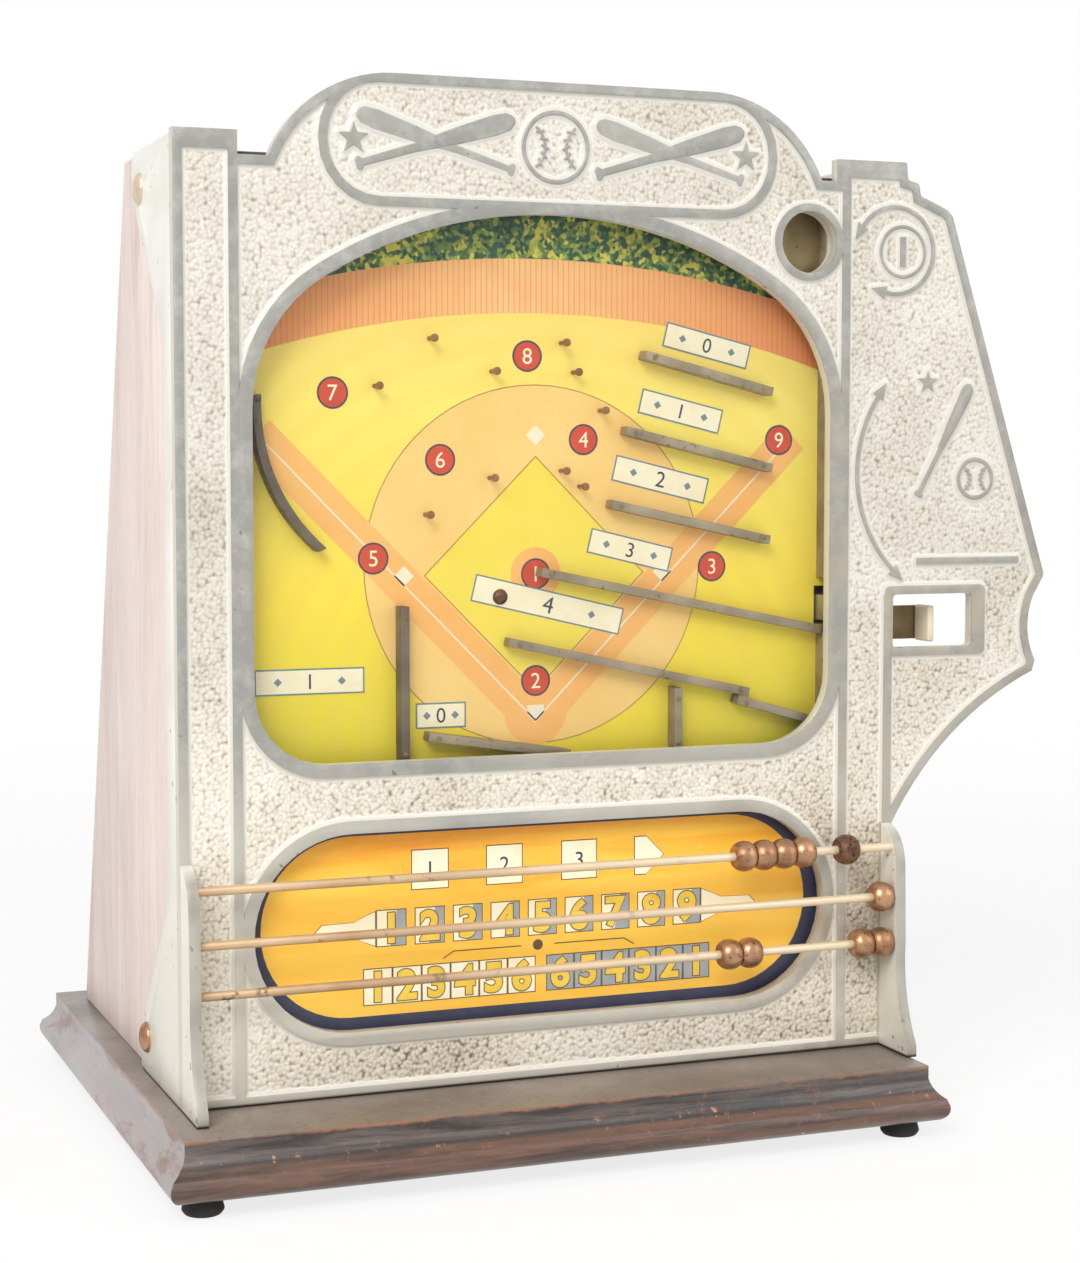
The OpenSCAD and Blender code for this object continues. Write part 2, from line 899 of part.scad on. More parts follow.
module pivot_bracket() {
    foot_z = pivot_z + eye_r + 6;
    color("#8f8a7c")
        in_frame()
            difference() {
                union() {
                    translate([pivot_x - 9, bracket_y, pivot_z - 9])
                        cube([18, bracket_t, foot_z + bracket_t - pivot_z + 9]);
                    translate([pivot_x - 9, board_back, foot_z])
                        cube([18, bracket_y + bracket_t - board_back, bracket_t]);
                    translate([pivot_x - 9, board_back, foot_z])
                        cube([18, bracket_t, 16]);
                }
                bar_y(pivot_x, pivot_z, pivot_r, bracket_y - 1, bracket_y + bracket_t + 1);
            }
}

module spring_eye(z) {
    translate([peg_x, spring_y, z])
        rotate([90, 0, 0])
            rotate_extrude()
                translate([2.9, 0])
                    circle(r = 0.6, $fn = 24);
}

module bat_spring() {
    color("#77736a")
        in_frame() {
            spring_eye(pivot_z);
            spring_eye(post_z);
            translate([peg_x, spring_y, pivot_z + 3.2])
                cylinder(r = spring_r, h = post_z - pivot_z - 6.4);
        }
}

module spring_post() {
    color("#9b968b")
        in_frame()
            bar_y(peg_x, post_z, 2, board_y + 2, lever_back + peg_l);
}

module lever_bumper() {
    color("#2b2927")
        in_frame()
            translate([pivot_x - arm_w / 2 - free_gap - 9, board_back, strip_z + 30])
                cube([9, lever_back - board_back + 1, 14]);
}

module back_door() {
    // its inner lower edge clears the plinth although the door leans
    low = door_t * tan(door_a) + door_gap;
    color("#6b473c")
        in_frame()
            in_door()
                difference() {
                    translate([inner_l + door_gap, -door_t, low])
                        cube([inner_r - inner_l - 2 * door_gap, door_t, door_l - low - 2]);
                    translate([lock_x, 1, lock_z])
                        rotate([90, 0, 0])
                            cylinder(r = lock_r, h = door_t + 2);
                }
}

knuckle_l = hinge_w / 5;

module knuckles(odd) {
    for (x = hinge_places, k = [0:4])
        if (k % 2 == odd)
            bar_x(hinge_y, hinge_z, knuckle_r, x - hinge_w / 2 + k * knuckle_l + free_gap / 2,
                x - hinge_w / 2 + (k + 1) * knuckle_l - free_gap / 2);
}

module pin_holes(r) {
    for (x = hinge_places)
        bar_x(hinge_y, hinge_z, r, x - hinge_w / 2 - 1, x + hinge_w / 2 + 1);
}

module hinge_base_leaves() {
    color("#a08a56")
        in_frame() {
            difference() {
                union() {
                    in_door()
                        knuckles(0);
                    for (x = hinge_places, k = [0, 2, 4])
                        translate([x - hinge_w / 2 + k * knuckle_l + 1, bottom_depth + 1.4,
                            floor_z + leaf_t / 2])
                            cube([knuckle_l - 2, 3, hinge_z - leaf_t]);
                    for (x = hinge_places)
                        translate([x - hinge_w / 2 + free_gap / 2, bottom_depth + 2, floor_z])
                            cube([hinge_w - free_gap, 16, leaf_t]);
                }
                in_door()
                    pin_holes(hinge_pin_r);
            }
        }
}

module hinge_door_leaves() {
    color("#a08a56")
        in_frame()
            in_door()
                difference() {
                    union() {
                        knuckles(1);
                        for (x = hinge_places) {
                            translate([x - hinge_w / 2 + free_gap / 2, 0, hinge_z + knuckle_r + 1])
                                cube([hinge_w - free_gap, leaf_t, 18]);
                            for (k = [1, 3])
                                translate([x - hinge_w / 2 + k * knuckle_l + free_gap / 2, 0, hinge_z])
                                    cube([knuckle_l - free_gap, hinge_y, knuckle_r + 2]);
                        }
                    }
                    pin_holes(hinge_pin_r + run_gap);
                }
}

module hinge_pins() {
    color("#8f8a7c")
        in_frame()
            in_door()
                for (x = hinge_places)
                    bar_x(hinge_y, hinge_z, hinge_pin_r, x - hinge_w / 2, x + hinge_w / 2);
}

cam_y = -door_t - rail_gap - rear_rail_t - free_gap - cam_t;
spindle_r = 3;

module door_lock() {
    color("#b79a5b")
        in_frame()
            in_door()
                translate([lock_x, 0, lock_z]) {
                    difference() {
                        union() {
                            rotate([-90, 0, 0])
                                cylinder(r = lock_r + 2.5, h = 2);
                            translate([0, cam_y + cam_t + free_gap, 0])
                                rotate([-90, 0, 0])
                                    cylinder(r = lock_r, h = -cam_y - cam_t - free_gap);
                        }
                        translate([-0.8, 0.5, -4])
                            cube([1.6, 3, 8]);
                    }
                    translate([0, cam_y - 1, 0])
                        rotate([-90, 0, 0])
                            cylinder(r = spindle_r, h = cam_t + free_gap + 2);
                }
}

module lock_cam() {
    color("#8f8a7c")
        in_frame()
            in_door()
                translate([lock_x, cam_y, lock_z])
                    difference() {
                        union() {
                            rotate([-90, 0, 0])
                                cylinder(r = 7, h = cam_t);
                            translate([0, 0, -5])
                                cube([cam_l, cam_t, 10]);
                        }
                        translate([0, -1, 0])
                            rotate([-90, 0, 0])
                                cylinder(r = spindle_r + run_gap, h = cam_t + 2);
                    }
}

tray_wall = 4;
tray_side = 24;
tray_w = inner_r - inner_l - 2 * tray_side;
tray_d = 140;
tray_h = 32;

module cash_tray() {
    color("#9a744e")
        in_frame()
            translate([inner_l + tray_side, board_back + 14, floor_z])
                difference() {
                    cube([tray_w, tray_d, tray_h]);
                    translate([tray_wall, tray_wall, tray_wall])
                        cube([tray_w - 2 * tray_wall, tray_d - 2 * tray_wall, tray_h]);
                }
}

plinth();
feet();
foot_screws();
left_side();
right_side();
top_board();
rear_rail();
front_casting();
upper_flange_screws();
lower_flange_screws();
main_glass();
glass_clips();
clip_screws();
playfield_board();
playfield_sheet();
board_cleats();
strike_rail();
single_rail();
double_rail();
triple_rail();
home_rail();
home_step_rail();
out_rail();
left_fence();
right_fence();
curved_rail();
lane_wall();
field_pins();
score_card();
score_backboard();
wire_top();
wire_middle();
wire_bottom();
bead_top_1();
bead_top_2();
bead_top_3();
bead_top_4();
bead_top_5();
bead_middle();
bead_bottom_1();
bead_bottom_2();
bead_bottom_3();
bead_bottom_4();
bat_lever();
bat_paddle();
pivot_pin();
pivot_bracket();
bat_spring();
spring_post();
lever_bumper();
back_door();
hinge_base_leaves();
hinge_door_leaves();
hinge_pins();
door_lock();
lock_cam();
cash_tray();
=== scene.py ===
import json
import math

import bpy
import numpy
from mathutils import Matrix, Vector
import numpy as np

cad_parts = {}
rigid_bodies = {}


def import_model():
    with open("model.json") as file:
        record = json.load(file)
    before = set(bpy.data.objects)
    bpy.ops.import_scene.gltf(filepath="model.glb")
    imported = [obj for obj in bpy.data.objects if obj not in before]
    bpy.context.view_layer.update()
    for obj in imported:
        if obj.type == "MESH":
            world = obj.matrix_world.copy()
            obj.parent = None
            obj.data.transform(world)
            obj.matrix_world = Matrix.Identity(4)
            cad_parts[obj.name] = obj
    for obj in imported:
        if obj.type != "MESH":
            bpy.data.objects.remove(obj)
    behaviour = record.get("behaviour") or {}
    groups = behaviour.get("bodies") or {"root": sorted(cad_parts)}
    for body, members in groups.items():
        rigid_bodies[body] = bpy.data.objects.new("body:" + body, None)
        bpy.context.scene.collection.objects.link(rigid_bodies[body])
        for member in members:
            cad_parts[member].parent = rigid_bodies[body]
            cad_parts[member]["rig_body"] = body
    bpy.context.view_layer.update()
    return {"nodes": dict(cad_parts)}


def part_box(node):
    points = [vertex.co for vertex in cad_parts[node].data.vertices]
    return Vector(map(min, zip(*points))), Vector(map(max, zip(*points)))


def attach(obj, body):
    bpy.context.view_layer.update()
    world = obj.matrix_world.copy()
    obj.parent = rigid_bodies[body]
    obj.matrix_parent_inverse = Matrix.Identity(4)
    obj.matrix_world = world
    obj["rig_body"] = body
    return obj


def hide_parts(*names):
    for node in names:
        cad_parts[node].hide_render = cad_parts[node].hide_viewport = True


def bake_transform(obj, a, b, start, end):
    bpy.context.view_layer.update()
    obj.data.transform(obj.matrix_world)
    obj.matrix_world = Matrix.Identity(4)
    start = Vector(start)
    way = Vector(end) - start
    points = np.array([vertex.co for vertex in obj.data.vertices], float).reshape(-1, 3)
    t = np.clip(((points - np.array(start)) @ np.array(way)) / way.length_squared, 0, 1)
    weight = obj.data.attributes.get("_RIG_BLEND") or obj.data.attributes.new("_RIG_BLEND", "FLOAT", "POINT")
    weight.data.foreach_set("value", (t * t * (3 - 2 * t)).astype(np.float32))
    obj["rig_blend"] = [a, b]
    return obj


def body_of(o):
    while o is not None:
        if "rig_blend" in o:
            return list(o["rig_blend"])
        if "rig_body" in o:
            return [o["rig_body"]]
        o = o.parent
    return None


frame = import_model()
print("frame loaded:", len(frame["nodes"]), "nodes")

# Places are in millimetres: x from a line a little left of the case's middle, y back from the face of the
# casting's borders, z up
plateDepth = 6
originLeft = 8.5
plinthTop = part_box("plinth")[1].z
middleX = (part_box("left_side")[0].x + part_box("right_side")[1].x) / 2 - originLeft / 1000
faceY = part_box("main_glass")[0].y - plateDepth / 1000


def spot(x, y, z):
    return Vector((middleX + x / 1000, faceY + y / 1000, z / 1000))


def nodeBox(node):
    low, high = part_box(node)
    shift = Vector((middleX, faceY, 0))
    return (low - shift) * 1000, (high - shift) * 1000


# Picking, copying and finishing pieces
weldGap = 0.00001
flatAngle = 0.4


def clearPick():
    if bpy.context.object and bpy.context.object.mode != "OBJECT":
        bpy.ops.object.mode_set(mode="OBJECT")
    bpy.ops.object.select_all(action="DESELECT")


def pickAlone(piece):
    clearPick()
    piece.select_set(True)
    bpy.context.view_layer.objects.active = piece


def roundEdges(piece, width, segments=2, angle=32):
    pickAlone(piece)
    bevel = piece.modifiers.new("soften", "BEVEL")
    bevel.width = width / 1000
    bevel.segments = segments
    bevel.limit_method = "ANGLE"
    bevel.angle_limit = math.radians(angle)
    bpy.ops.object.modifier_apply(modifier=bevel.name)


def smoothOver(piece, angle=38):
    pickAlone(piece)
    bpy.ops.object.shade_smooth_by_angle(angle=math.radians(angle))


def settle(piece, material, body, nodes=()):
    piece.data.materials.clear()
    piece.data.materials.append(material)
    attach(piece, body)
    if nodes:
        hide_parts(*nodes)
    return piece


# A copy of a CAD node with its edges eased, or with its mesh as it is where ease is None
def dressNode(node, material, ease):
    solid = frame["nodes"][node]
    piece = bpy.data.objects.new(node + "_finish", solid.data.copy())
    bpy.context.collection.objects.link(piece)
    pickAlone(piece)
    bpy.ops.object.mode_set(mode="EDIT")
    bpy.ops.mesh.select_all(action="SELECT")
    bpy.ops.mesh.remove_doubles(threshold=weldGap)
    if ease is not None:
        bpy.ops.mesh.dissolve_limited(angle_limit=math.radians(flatAngle))
    bpy.ops.mesh.customdata_custom_splitnormals_clear()
    bpy.ops.object.mode_set(mode="OBJECT")
    if ease:
        roundEdges(piece, ease)
    if ease is not None:
        smoothOver(piece)
    return settle(piece, material, body_of(solid)[0], [node])


# Small steps for building materials


# A colour code as the linear tint that Blender takes
def tint(code):
    parts = [int(code[i:i + 2], 16) / 255 for i in (1, 3, 5)]
    return [p / 12.92 if p <= 0.04045 else ((p + 0.055) / 1.055) ** 2.4 for p in parts] + [1]


def startMaterial(name, roughness=0.5, metallic=0.0):
    material = bpy.data.materials.new(name)
    material.use_nodes = True
    tree = material.node_tree
    shader = tree.nodes["Principled BSDF"]
    shader.inputs["Roughness"].default_value = roughness
    shader.inputs["Metallic"].default_value = metallic
    return material, tree, shader


def addNode(tree, kind, inputs, **settings):
    node = tree.nodes.new(kind)
    for key, value in settings.items():
        setattr(node, key, value)
    for key, value in inputs.items():
        if isinstance(value, bpy.types.NodeSocket):
            tree.links.new(value, node.inputs[key])
        else:
            node.inputs[key].default_value = value
    return node


def objectCoords(tree, stretch=(1, 1, 1)):
    coords = addNode(tree, "ShaderNodeTexCoord", {}).outputs["Object"]
    return addNode(tree, "ShaderNodeMapping", {"Vector": coords, "Scale": stretch}).outputs[0]


def axesOf(tree, vector):
    return addNode(tree, "ShaderNodeSeparateXYZ", {0: vector}).outputs


def speckle(tree, coords, scale, detail=3.0, roughness=0.55, distortion=0.0):
    values = {"Vector": coords, "Scale": scale, "Detail": detail, "Roughness": roughness,
              "Distortion": distortion}
    return addNode(tree, "ShaderNodeTexNoise", values).outputs["Fac"]


def calc(tree, operation, first, second=0.0):
    return addNode(tree, "ShaderNodeMath", {0: first, 1: second}, operation=operation).outputs[0]


def remap(tree, value, low, high, start=0.0, end=1.0):
    return addNode(tree, "ShaderNodeMapRange", {"Value": value, "From Min": low, "From Max": high,
                                                "To Min": start, "To Max": end}).outputs["Result"]


def blendTints(tree, amount, first, second):
    return addNode(tree, "ShaderNodeMix", {0: amount, 6: first, 7: second}, data_type="RGBA").outputs[2]


def tintRamp(tree, amount, stops):
    node = addNode(tree, "ShaderNodeValToRGB", {"Fac": amount})
    ramp = node.color_ramp
    while len(ramp.elements) < len(stops):
        ramp.elements.new(0.5)
    for element, (at, code) in zip(ramp.elements, stops):
        element.position = at
        element.color = tint(code)
    return node.outputs["Color"]


def raiseBumps(tree, shader, height, strength, depth):
    bump = addNode(tree, "ShaderNodeBump", {"Height": height, "Strength": strength, "Distance": depth / 1000})
    tree.links.new(bump.outputs[0], shader.inputs["Normal"])


def paint(tree, shader, colour, roughness=None):
    tree.links.new(colour, shader.inputs["Base Color"])
    if roughness is not None:
        tree.links.new(roughness, shader.inputs["Roughness"])


# Cast metal: smooth grey raised borders, paler low down, and bright side flanges, with a painted highlight on
# the borders' sides, painted shade on the cheeks' slanted faces and a painted shadow line at its foot
castFinish = {"border": "#94938D", "borderLow": "#C6C2B5", "borderDull": "#8B8B87", "polish": "#B3B1AA",
              "tan": "#ABA18E", "lipHighlight": "#CFC9BB", "flange": "#F3F1E9", "flangeDull": "#DFDBCF",
              "flangeLow": "#DEDACD", "flangeLowDull": "#C6C1B3", "cheekShade": "#8E897D", "pit": "#6F6A5E",
              "gapShadow": "#2E2722", "metal": 0.25}
castScales = {"patches": 18.0, "fine": 300.0, "lightening": 95.0, "soiled": 48.0, "pits": 210.0, "nicks": 260.0,
              "dents": 45.0}
# Where its zones start and are full, in millimetres: behind the border's face, and above the ground
castDepths = {"ahead": (-0.3, -0.8), "behind": (6.2, 6.6), "lipHighlight": (0.3, 1.1), "rim": (-11, -16)}
castHeights = {"lower": (250, 130), "soiled": (400, 260), "rim": (160, 140)}


def makeCastMetal():
    material, tree, shader = startMaterial("castMetal", metallic=castFinish["metal"])
    coords = objectCoords(tree)
    x, y, z = axesOf(tree, coords)
    depths = {key: [faceY + depth / 1000 for depth in ends] for key, ends in castDepths.items()}
    heights = {key: [height / 1000 for height in ends] for key, ends in castHeights.items()}

    def spots(key, detail=3.0, roughness=0.55):
        return speckle(tree, coords, castScales[key], detail, roughness)

    ahead = remap(tree, y, *depths["ahead"])
    flange = calc(tree, "MAXIMUM", ahead, remap(tree, y, *depths["behind"]))
    patches = spots("patches", 4.0)
    worn = remap(tree, patches, 0.45, 0.7, 0.0, 0.85)
    uneven = calc(tree, "ADD", z, calc(tree, "MULTIPLY", patches, 0.08))
    lower = remap(tree, uneven, *heights["lower"])
    edge = blendTints(tree, lower, tint(castFinish["border"]), tint(castFinish["borderLow"]))
    edge = blendTints(tree, worn, edge, blendTints(tree, lower, tint(castFinish["borderDull"]), edge))
    lightening = remap(tree, spots("lightening", 6.0, 0.7), 0.46, 0.68, 0.0, 0.65)
    edge = blendTints(tree, lightening, edge, blendTints(tree, lower, tint(castFinish["polish"]), edge))
    right = remap(tree, x, middleX + 0.02, middleX + 0.17, 0.08, 0.85)
    right = calc(tree, "MULTIPLY", right, remap(tree, z, *heights["soiled"], 0.15, 1.0))
    soiled = calc(tree, "MULTIPLY", remap(tree, spots("soiled", 6.0, 0.7), 0.4, 0.6), right)
    edge = blendTints(tree, soiled, edge, tint(castFinish["tan"]))
    # Painted highlight: a pale cream on the borders' rounded sides and on the walls more than a millimetre
    # behind their face
    edge = blendTints(tree, remap(tree, y, *depths["lipHighlight"]), edge, tint(castFinish["lipHighlight"]))
    side = blendTints(tree, worn, tint(castFinish["flange"]), tint(castFinish["flangeDull"]))
    sideLow = blendTints(tree, worn, tint(castFinish["flangeLow"]), tint(castFinish["flangeLowDull"]))
    side = blendTints(tree, lower, side, sideLow)
    normal = addNode(tree, "ShaderNodeTexCoord", {}).outputs["Normal"]
    # Painted shade: the cheeks' slanted faces are darkened to a grey-tan, mottled by patches
    cheekShade = calc(tree, "MULTIPLY", remap(tree, axesOf(tree, normal)[1], -0.35, -0.75), ahead)
    cheekShadeAmount = calc(tree, "MULTIPLY", cheekShade, remap(tree, patches, 0.35, 0.65, 0.55, 0.95))
    side = blendTints(tree, cheekShadeAmount, side, tint(castFinish["cheekShade"]))
    colour = blendTints(tree, flange, edge, side)
    rim = calc(tree, "MULTIPLY", remap(tree, y, *depths["rim"]), remap(tree, z, *heights["rim"]))
    nicks = calc(tree, "MULTIPLY", remap(tree, spots("nicks", 2.0, 0.4), 0.68, 0.72), rim)
    pits = calc(tree, "MAXIMUM", remap(tree, spots("pits", 2.0, 0.4), 0.73, 0.77), nicks)
    colour = blendTints(tree, calc(tree, "MULTIPLY", pits, 0.75), colour, tint(castFinish["pit"]))
    # Painted shadow: a dark line along the casting's foot, where it meets the plinth
    foot = remap(tree, z, plinthTop + 0.0016, plinthTop + 0.0007)
    colour = blendTints(tree, foot, colour, tint(castFinish["gapShadow"]))
    paint(tree, shader, colour, remap(tree, spots("fine"), 0.3, 0.7, 0.32, 0.46))
    dents = calc(tree, "ADD", spots("dents"), calc(tree, "MULTIPLY", pits, -0.4))
    raiseBumps(tree, shader, dents, 0.35, 0.25)
    return material


# Pebbled ground: coloured by depth, pale on the slopes by the borders, with painted highlights on the grain
# tops and painted shade, tan, in the hollows; yellower and more contrasty low down, with tan stains
groundFinish = {"upper": ["#CFCBC3", "#DCD8CF", "#C8C1B4", "#968A75"],
                "lower": ["#DAD5C9", "#EFEADE", "#D4CAB6", "#746654"],
                "stain": "#B99D78", "metal": 0.2}
pebbleWork = {"cell": 0.56, "grain": 1.65, "top": 1.2, "deep": 0.5, "roughen": 0.12, "roughGrain": 1.2,
              "slope": 2.2, "slopePower": 2, "grainPower": 1.5, "softenings": 6, "rise": 0.6,
              "groundFrom": 1.5, "groundTo": 2.5, "borderFrom": -0.5}


def makePebbledMetal():
    material, tree, shader = startMaterial("pebbledMetal", metallic=groundFinish["metal"])
    coords = objectCoords(tree)
    y, z = axesOf(tree, coords)[1:]
    patches = speckle(tree, coords, 15.0, 5.0, 0.6)
    fine = speckle(tree, coords, 700.0, 3.0)
    top = faceY + pebbleWork["top"] / 1000
    deep = remap(tree, y, top - 0.0003, top + 0.0005)
    deep = calc(tree, "ADD", deep, remap(tree, patches, 0.35, 0.7, -0.12, 0.13))
    # Stops for slope, grain top, grain side and hollow: the lighter tops are a painted highlight, the darker
    # sides and hollows painted shade
    places = (0.2, 0.42, 0.66, 1.0)
    stops = [list(zip(places, groundFinish[half])) for half in ("upper", "lower")]
    upper, lower = [tintRamp(tree, deep, half) for half in stops]
    colour = blendTints(tree, remap(tree, z, 0.27, 0.1), upper, lower)
    stains = remap(tree, speckle(tree, coords, 34.0, 5.0, 0.65), 0.62, 0.75, 0.0, 0.4)
    colour = blendTints(tree, stains, colour, tint(groundFinish["stain"]))
    paint(tree, shader, colour, remap(tree, fine, 0.3, 0.7, 0.38, 0.55))
    raiseBumps(tree, shader, fine, 0.25, 0.15)
    return material


# Woods: grain runs along the given axes, with a pale wash, dark pores and worn patches
def makeWood(name, stops, along, wear, wearTint, roughness=0.5, grainScale=22.0):
    material, tree, shader = startMaterial(name)
    stretch = [1.0, 1.0, 1.0]
    for axis in along:
        stretch[axis] = 0.09
    coords = objectCoords(tree)
    grainCoords = objectCoords(tree, stretch)
    grain = speckle(tree, grainCoords, grainScale, 6.0, 0.62, 1.2)
    pores = speckle(tree, grainCoords, grainScale * 16, 3.0, 0.7)
    patches = speckle(tree, coords, 7.0, 5.0, 0.6)
    amount = calc(tree, "ADD", calc(tree, "MULTIPLY", grain, 0.6), calc(tree, "MULTIPLY", patches, 0.4))
    colour = tintRamp(tree, amount, stops)
    dark = calc(tree, "MULTIPLY", remap(tree, pores, 0.56, 0.7), 0.5)
    colour = blendTints(tree, dark, colour, tint(stops[0][1]))
    chips = remap(tree, speckle(tree, coords, 85.0, 5.0, 0.7), 0.72 - wear, 0.78 - wear)
    colour = blendTints(tree, chips, colour, tint(wearTint))
    paint(tree, shader, colour, remap(tree, patches, 0.3, 0.7, roughness - 0.12, roughness + 0.12))
    raiseBumps(tree, shader, calc(tree, "ADD", grain, pores), 0.25, 0.35)
    return material


# The plinth's old dark stain: dusty on top, black in the hollow of its moulding, worn brown on its edges, and
# a painted pale sheen on its left end
plinthFinish = {"dust": "#83776B", "dustDark": "#685B51", "speck": "#4E433C", "stain": "#251D1B",
                "stainPale": "#6E615B", "nose": "#6C4C3C", "noseDark": "#35271F", "rub": "#96613F",
                "chip": "#C4875F", "joint": "#1D1614", "sheen": "#B3ABAB", "sheenRub": "#8F6650", "coat": 0.4,
                "coatRoughness": 0.22, "endReach": (11, 9)}
# Where its zones start and are full, in millimetres under its top
plinthZones = {"nose": (9.5, 10.5), "jointFoot": (11.2, 10.1), "jointHead": (8.7, 9.7), "high": (6, 1),
               "dust": (1.2, 0.2), "edgeOut": (0.4, -0.4), "edgeIn": (0.1, 0.5), "seamFoot": (16, 12),
               "seamHead": (7, 9), "chips": (4, 8)}


def makePlinthWood():
    material, tree, shader = startMaterial("plinthWood")
    coords = objectCoords(tree)
    x, y, z = axesOf(tree, coords)

    def zone(height, key):
        return remap(tree, height, *[plinthTop - depth / 1000 for depth in plinthZones[key]])

    def both(first, second):
        return calc(tree, "MULTIPLY", first, second)

    def mixed(amount, first, second):
        return blendTints(tree, amount, tint(plinthFinish[first]), tint(plinthFinish[second]))

    def covered(amount, under, over):
        return blendTints(tree, amount, under, tint(plinthFinish[over]))

    grain = speckle(tree, objectCoords(tree, (0.07, 0.07, 1.0)), 210.0, 7.0, 0.7, 0.6)
    patches = speckle(tree, coords, 14.0, 5.0, 0.62)
    crumbs = speckle(tree, coords, 170.0, 5.0, 0.7)
    face = mixed(remap(tree, grain, 0.4, 0.7), "stain", "stainPale")
    low = calc(tree, "ADD", z, both(crumbs, 0.002))
    brown = mixed(remap(tree, grain, 0.35, 0.6), "noseDark", "nose")
    face = blendTints(tree, zone(low, "nose"), face, brown)
    lightening = both(remap(tree, crumbs, 0.54, 0.7), remap(tree, patches, 0.4, 0.65))
    face = covered(both(lightening, 0.6), face, "rub")
    joint = both(zone(low, "jointFoot"), zone(low, "jointHead"))
    face = covered(both(joint, 0.75), face, "joint")
    # Painted reflection: the left end face is washed pale, as if the white surroundings shone in it, broken
    # by brown worn patches
    left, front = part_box("plinth")[0][:2]
    across = calc(tree, "SUBTRACT", calc(tree, "SUBTRACT", y, front), calc(tree, "SUBTRACT", x, left))
    reach = [left + inward / 1000 for inward in plinthFinish["endReach"]]
    end = both(remap(tree, across, 0.0, 0.0008), remap(tree, x, *reach))
    scratches = speckle(tree, objectCoords(tree, (1.0, 0.35, 1.0)), 60.0, 6.0, 0.7)
    scuffs = calc(tree, "ADD", scratches, both(zone(z, "high"), 0.07))
    sheenAndRubs = mixed(remap(tree, scuffs, 0.52, 0.62, 0.0, 0.8), "sheen", "sheenRub")
    face = blendTints(tree, both(end, 0.66), face, sheenAndRubs)
    dust = mixed(remap(tree, patches, 0.35, 0.65), "dust", "dustDark")
    specks = remap(tree, speckle(tree, coords, 420.0, 3.0, 0.6), 0.55, 0.7, 0.0, 0.6)
    face = blendTints(tree, zone(z, "dust"), face, covered(specks, dust, "speck"))
    ragged = calc(tree, "ADD", z, both(crumbs, 0.003))
    edge = both(zone(ragged, "edgeOut"), zone(z, "edgeIn"))
    edge = both(edge, remap(tree, speckle(tree, coords, 30.0, 4.0, 0.65), 0.4, 0.6, 0.1, 0.9))
    face = covered(edge, face, "rub")
    chips = remap(tree, speckle(tree, coords, 88.0, 5.0, 0.7), 0.69, 0.71)
    seam = both(zone(z, "seamFoot"), zone(z, "seamHead"))
    nibbles = both(remap(tree, crumbs, 0.63, 0.66), seam)
    chips = calc(tree, "MAXIMUM", chips, both(nibbles, 0.7))
    face = covered(both(chips, zone(z, "chips")), face, "chip")
    shader.inputs["Coat Weight"].default_value = plinthFinish["coat"]
    shader.inputs["Coat Roughness"].default_value = plinthFinish["coatRoughness"]
    paint(tree, shader, face, remap(tree, patches, 0.3, 0.7, 0.3, 0.5))
    hollows = calc(tree, "ADD", both(crumbs, 0.8), both(chips, -0.8))
    raiseBumps(tree, shader, calc(tree, "ADD", grain, hollows), 0.4, 0.5)
    return material


# Plain metals: a tint with cloudy tarnish, fine scratches and spots
def makeMetal(name, bright, dull, dark, metallic, roughness, cloud=40.0, spots=0.0):
    material, tree, shader = startMaterial(name, metallic=metallic)
    coords = objectCoords(tree)
    clouds = speckle(tree, coords, cloud, 4.0)
    colour = blendTints(tree, remap(tree, clouds, 0.35, 0.7), tint(bright), tint(dull))
    spotty = remap(tree, speckle(tree, coords, cloud * 5, 4.0, 0.65), 0.66 - spots, 0.74 - spots)
    colour = blendTints(tree, spotty, colour, tint(dark))
    paint(tree, shader, colour, remap(tree, clouds, 0.3, 0.7, roughness - 0.08, roughness + 0.1))
    raiseBumps(tree, shader, speckle(tree, coords, cloud * 9, 2.0), 0.12, 0.12)
    return material


# The wires' brass, paler towards the right
wireFinish = {"pale": "#EFE0C2", "from": -90, "to": 100, "most": 0.75}


def makeWireBrass():
    material = makeMetal("wireBrass", "#CFB18C", "#A88460", "#6B503A", 0.3, 0.45, 16.0, 0.06)
    tree = material.node_tree
    shader = tree.nodes["Principled BSDF"]
    colour = shader.inputs["Base Color"].links[0].from_socket
    start, end = [spot(wireFinish[key], 0, 0).x for key in ("from", "to")]
    lightening = remap(tree, axesOf(tree, objectCoords(tree))[0], start, end, 0.0, wireFinish["most"])
    paint(tree, shader, blendTints(tree, lightening, colour, tint(wireFinish["pale"])))
    return material


# Rubber and other dull coverings
def makeDull(name, first, second, roughness=0.8):
    material, tree, shader = startMaterial(name, roughness)
    coords = objectCoords(tree)
    paint(tree, shader, blendTints(tree, speckle(tree, coords, 130.0, 4.0), tint(first), tint(second)))
    raiseBumps(tree, shader, speckle(tree, coords, 600.0, 2.0), 0.2, 0.1)
    return material


# Printed ink on paper: a tint with faint mottling and age
def makeInk(name, first, second, scale=60.0, roughness=0.55):
    material, tree, shader = startMaterial(name, roughness)
    coords = objectCoords(tree)
    cloud = speckle(tree, coords, scale, 4.0, 0.6)
    grain = speckle(tree, coords, scale * 14, 2.0)
    mixed = calc(tree, "ADD", calc(tree, "MULTIPLY", cloud, 0.75), calc(tree, "MULTIPLY", grain, 0.25))
    paint(tree, shader, blendTints(tree, remap(tree, mixed, 0.36, 0.64), tint(first), tint(second)))
    return material


# Score card: bright yellow with soft orange bands across it, deepest along the top
cardFinish = {"stops": [(0.0, "#FFCE50"), (0.45, "#FEC140"), (1.0, "#F79F28")], "worn": "#FFE08A"}


